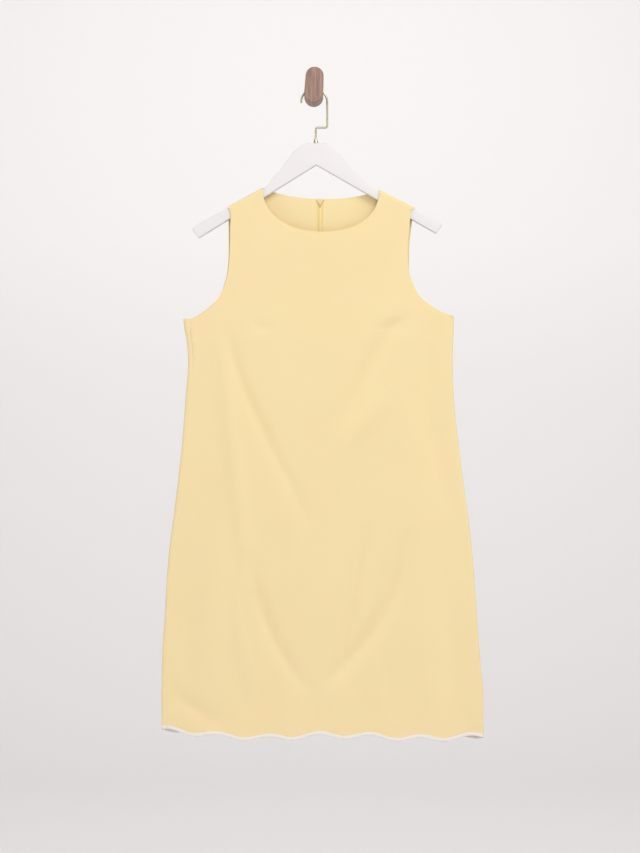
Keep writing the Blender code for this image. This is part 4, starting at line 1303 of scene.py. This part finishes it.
class DRESS_OT_facings(bpy.types.Operator):
    """Build the facing inside each back neck, with its row of understitching"""

    bl_idname = "dress.facings"
    bl_label = "Back neck facings"

    def execute(self, context):
        # the facing's crepe is a lighter copy of the cloth: painted light that lifts the shade inside the
        # neck
        cloth = ready("facing_crepe", crepe, colours().facing)
        routes = []
        for side, name in ((-1, "left"), (1, "right")):
            rows = facing_rows(side)
            made = inner_sheet("facing_cloth_" + name, rows, FACING, cloth)
            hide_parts("back_facing_" + name)
            inward = first_layer_in() + FACING
            top = rows[-1][:half_neck() + 1] if side < 0 else rows[-1][-half_neck() - 1:]
            routes.append([ring_point(s, z - STITCHES_FROM_TOP, 1, inward) for s, z in top])
            low = FACING_FOOT_Z + STITCHES_FROM_FOOT
            routes.append([ring_point(s, low, 1, inward) for s, _ in rows[0]])
        wide = sizes().thread_width
        along_path("facing_stitches", routes, "stitch", sizes().stitch_pitch,
                   sizes().stitch_pitch * STITCH_SHARE, wide, wide, cloth)
        return {"FINISHED"}


class DRESS_OT_zip(bpy.types.Operator):
    """Build the zip down the centre back: tapes, teeth and the V at its top, and give the slider and pull
    tab their enamel
    """

    bl_idname = "dress.zip"
    bl_label = "Back zip"

    def execute(self, context):
        tape = ready("woven_zip_tape", ribbed_tape, colours().zip_tape, 1.2)
        half = COIL_WIDE / 2
        inner, outer = half + SEAM_GAP, half + SEAM_GAP + TAPE_WIDE
        top = neckline(neck_place(CENTRE_BACK_X), 1)[1] - 2
        levels = columns_between(ZIP_FOOT_Z, top, ZIP_ROWS)
        for side, name in ((-1, "left"), (1, "right")):
            rows = []
            for z in levels:
                parted = smooth((z - ZIP_SPLIT_Z) / (top - ZIP_SPLIT_Z))
                open_by = TAPE_PARTS_BY * parted
                taper = 1.0 - TAPE_NARROWS_BY * parted
                near, far = inner + open_by, inner + open_by + TAPE_WIDE * taper
                row = [(CENTRE_BACK_X + side * blend(far, near, t), z) for t in (0, 0.25, 0.5, 0.75, 1)]
                rows.append(row[::-1] if side < 0 else row)
            made = inner_sheet("zip_tape_cloth_" + name, rows, TAPE_THICK, tape)
            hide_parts("zip_tape_" + name)
        # the coil's colour is the tape's lifted by painted light, against the shade between the teeth
        nylon = ready("nylon_coil", smooth_plastic, tinted(colours().zip_tape, COIL_PAINTED_LIGHT)[:3])
        inward = first_layer_in() + COIL_IN
        route = [ring_point(CENTRE_BACK_X, z, 1, inward) for z in levels if z < ZIP_SPLIT_Z]
        pitch = sizes().tooth_pitch
        teeth = along_path("zip_teeth", [route], "tooth", pitch, pitch * TOOTH_LONG, TOOTH_WIDE * MM,
                           TOOTH_HIGH * MM, nylon)
        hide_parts("zip_coil")
        for side, name in ((-1, "left"), (1, "right")):
            # thin wires along the V's edges, coloured dark brown as painted shadow of the gaps where the
            # tape ends turn
            run = []
            for z in columns_between(ZIP_SPLIT_Z - 1.0, top - 0.5, 10):
                t = (z - ZIP_SPLIT_Z) / (top - ZIP_SPLIT_Z)
                x = CENTRE_BACK_X + side * blend(V_SHADOW_NEAR, V_SHADOW_FAR, smooth(t))
                run.append(ring_point(x, z, 1, inward + 0.6))
            shaded = ready("zip_end_crepe", crepe, colours().zip_end)
            edge = wire("zip_v_shadow_line_" + name, run, V_SHADOW_LINE_R, shaded)
        enamel = ready("enamelled_zinc", enamelled_zinc, colours().enamel)
        for node in ("zip_slider", "zip_pull_tab"):
            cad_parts[node].data.materials.clear()
            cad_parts[node].data.materials.append(enamel)
        return {"FINISHED"}


class DRESS_OT_binding(bpy.types.Operator):
    """Build the white binding round the scalloped hem, with its row of stitches"""

    bl_idname = "dress.binding"
    bl_label = "Hem binding"

    def execute(self, context):
        cloth = ready("bias_binding", ribbed_tape, colours().binding, 1.4, "DIAGONAL")
        parts = (("front", front_rows(), -1), ("back_left", back_left_rows(), 1),
                 ("back_right", back_right_rows(), 1))
        routes = []
        for name, rows, face in parts:
            made = binding("binding_" + name, rows, face, cloth, "hem_binding_" + name)
            up, out = BINDING_HIGH - BINDING_STITCH_DOWN, SEAM_GAP + BINDING_STITCH_OUT
            routes.append([ring_point(s, z + up, face, -out) for s, z in rows[0][2:-2]])
        wide = sizes().thread_width
        along_path("binding_stitches", routes, "stitch", sizes().stitch_pitch,
                   sizes().stitch_pitch * STITCH_SHARE, wide, wide, cloth)
        return {"FINISHED"}


class DRESS_OT_hanger(bpy.types.Operator):
    """Build the painted hanger, its ferrule and its wire hook"""

    bl_idname = "dress.hanger"
    bl_label = "Hanger and hook"

    def execute(self, context):
        half = hanger_half()
        outline = half + [(0.0, 0.0)] + [(-out, z) for out, z in reversed(half)]
        points = [on_hanger(out, z) for out, z in outline]
        shape = flat_curve("painted_hanger", points, HANGER_THICK, 2.0)
        mesh = curve_to_mesh("painted_hanger", shape, math.pi / 2, (0.0, MID_Y, 0.0))
        paint_coat = ready("satin_white_paint", satin_paint, colours().hanger)
        made = piece("painted_hanger", mesh, paint_coat)
        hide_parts("hanger")
        hook = wire("wire_hook", [(x, MID_Y, z) for x, z in hook_route()], WIRE_R, brass())
        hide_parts("hanger_hook")
        top = on_hanger(STEM_X - HANGER_X, HANGER_NECK[0][1])[1] + SEAM_GAP
        bore = WIRE_R + SEAM_GAP
        profile = ((bore, 0.0), *FERRULE_PROFILE, (bore, FERRULE_HIGH))
        cone = lathe("brass_ferrule", profile, (STEM_X, MID_Y, top), brass())
        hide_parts("hanger_ferrule")
        return {"FINISHED"}


class DRESS_OT_peg(bpy.types.Operator):
    """Build the walnut peg with the slot that the hook hangs in"""

    bl_idname = "dress.peg"
    bl_label = "Wall peg"

    def execute(self, context):
        top_z, foot_z = PEG_HALF_HIGH - PEG_TOP_R, PEG_FOOT_R - PEG_HALF_HIGH
        outline = arc((0.0, top_z), PEG_TOP_R, 0, 180, 48) + arc((0.0, foot_z), PEG_FOOT_R, 180, 360, 48)
        c, s = math.cos(PEG_LEAN), math.sin(PEG_LEAN)
        outline = [(x * c + z * s, z * c - x * s) for x, z in outline]
        shape = flat_curve("walnut_peg", outline, PEG_DEEP, 1.6)
        mesh = curve_to_mesh("walnut_peg", shape, math.pi / 2, (0.0, -PEG_DEEP / 2, 0.0))
        wood = ready("oiled_walnut", oiled_walnut, colours().wood_dark, colours().wood_light)
        made = piece("walnut_peg", mesh, wood)
        clear = 60.0        # the cut runs well past the peg
        cut = bmesh.new()
        bmesh.ops.create_cube(cut, size=1.0)
        bmesh.ops.scale(cut, vec=Vector((clear, SLOT_WIDE, clear)) * MM, verts=cut.verts[:])
        middle = Vector((0.0, MID_Y, SLOT_FLOOR_Z + clear / 2)) * MM
        bmesh.ops.translate(cut, vec=middle, verts=cut.verts[:])
        cutter = linked("slot_cut", finished_mesh("slot_cut", cut))
        step = made.modifiers.new("slot", "BOOLEAN")
        step.operation = "DIFFERENCE"
        step.object = cutter
        step.solver = "EXACT"
        solid = evaluated_mesh(made)
        made.modifiers.remove(step)
        bpy.data.objects.remove(cutter, do_unlink=True)
        made.data = solid
        solid.materials.clear()
        solid.materials.append(wood)
        solid.set_sharp_from_angle(angle=SHARP_ANGLE)
        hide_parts("wall_peg")
        return {"FINISHED"}


def area_light(name, size_m, power, place, target=AIM, tint=WHITE):
    lamp = bpy.data.lights.new(name, "AREA")
    lamp.shape = "RECTANGLE"
    lamp.size, lamp.size_y = size_m
    lamp.energy = power
    lamp.color = tint
    holder = linked(name, lamp)
    holder.location = place
    holder.visible_camera = False
    holder.rotation_euler = (Vector(target) - Vector(place)).to_track_quat("-Z", "Y").to_euler()


class DRESS_OT_stage(bpy.types.Operator):
    """Build the pale floor and backdrop, the soft studio lights and the camera"""

    bl_idname = "dress.stage"
    bl_label = "Stage, lights and camera"

    def execute(self, context):
        paper = ready("studio_paper", studio_paper, colours().stage)
        bend = SWEEP_BEND
        profile = [(FRONT_Y, FLOOR_Z), (BACK_Y - bend, FLOOR_Z)]
        profile += [(BACK_Y - bend + bend * math.sin(a), FLOOR_Z + bend - bend * math.cos(a))
                    for a in (math.radians(d) for d in range(6, 91, 6))]
        profile.append((BACK_Y, BACKDROP_TOP_Z))
        sweep = bmesh.new()
        rails = [[sweep.verts.new((x, y, z)) for y, z in profile] for x in (-STAGE_HALF, STAGE_HALF)]
        for i in range(len(profile) - 1):
            quad = sweep.faces.new((rails[0][i], rails[1][i], rails[1][i + 1], rails[0][i + 1]))
            quad.smooth = True
        ground = linked("studio_sweep", finished_mesh("studio_sweep", sweep))
        ground.data.materials.append(paper)
        # name, size, power, place, and where it points or its tint if they aren't the usual ones
        area_light("key_above", (2.2, 1.8), 70.0, (1.3, -2.6, 2.2), tint=(0.985, 0.995, 1.0))
        area_light("front_soft", (3.0, 3.0), 42.0, (0.5, -5.2, 0.6))
        area_light("left_side", (1.6, 2.6), 22.0, (-3.0, -0.9, -0.4))
        area_light("right_side", (1.6, 2.6), 9.0, (3.0, -0.9, -0.4))
        area_light("wall_wash", (6.0, 2.0), 98.0, (0.0, 1.7, 1.9), (0.0, BACK_Y, -0.6))
        world = bpy.data.worlds.new("pale_room")
        context.scene.world = world
        world.use_nodes = True
        ground_light = world.node_tree.nodes["Background"]
        ground_light.inputs["Color"].default_value = (*hex_to_linear("f4f3f2"), 1.0)
        ground_light.inputs["Strength"].default_value = ROOM_LIGHT
        lens = bpy.data.cameras.new("photo_camera")
        reach = sizes().camera_reach
        lens.sensor_fit = "HORIZONTAL"
        lens.sensor_width = SENSOR_WIDE
        lens.lens = SENSOR_WIDE * reach / (FRAME_WIDE * MM_PER_PIXEL * MM)
        lens.clip_end = 3 * STAGE_HALF
        camera = linked("photo_camera", lens)
        camera.location = (CAMERA_X * MM, MID_Y * MM - reach, CAMERA_Z * MM)
        camera.rotation_euler = (math.pi / 2, 0.0, 0.0)
        context.scene.camera = camera
        context.scene.view_settings.view_transform = "Standard"
        return {"FINISHED"}


OPERATORS = (DRESS_OT_panels, DRESS_OT_facings, DRESS_OT_zip, DRESS_OT_binding, DRESS_OT_hanger,
             DRESS_OT_peg, DRESS_OT_stage)


class DRESS_PT_panel(bpy.types.Panel):
    """Lists the steps that build the dress, with their sizes and colours"""

    bl_idname = "DRESS_PT_panel"
    bl_label = "A-line mini dress"
    bl_space_type = "VIEW_3D"
    bl_region_type = "UI"
    bl_category = "Dress"

    def draw(self, context):
        for group in (context.scene.dress_sizes, context.scene.dress_colours):
            box = self.layout.box()
            for key in group.bl_rna.properties.keys():
                if key not in ("rna_type", "name"):
                    box.prop(group, key)
        for operator in OPERATORS:
            self.layout.operator(operator.bl_idname)


CLASSES = (DressSizes, DressColours, *OPERATORS, DRESS_PT_panel)


def register():
    for cls in CLASSES:
        bpy.utils.register_class(cls)
    bpy.types.Scene.dress_sizes = bpy.props.PointerProperty(type=DressSizes)
    bpy.types.Scene.dress_colours = bpy.props.PointerProperty(type=DressColours)


def unregister():
    del bpy.types.Scene.dress_colours
    del bpy.types.Scene.dress_sizes
    for cls in reversed(CLASSES):
        bpy.utils.unregister_class(cls)


def main():
    register()
    bpy.ops.dress.panels()
    bpy.ops.dress.facings()
    bpy.ops.dress.zip()
    bpy.ops.dress.binding()
    bpy.ops.dress.hanger()
    bpy.ops.dress.peg()
    bpy.ops.dress.stage()


if __name__ == "__main__":
    main()
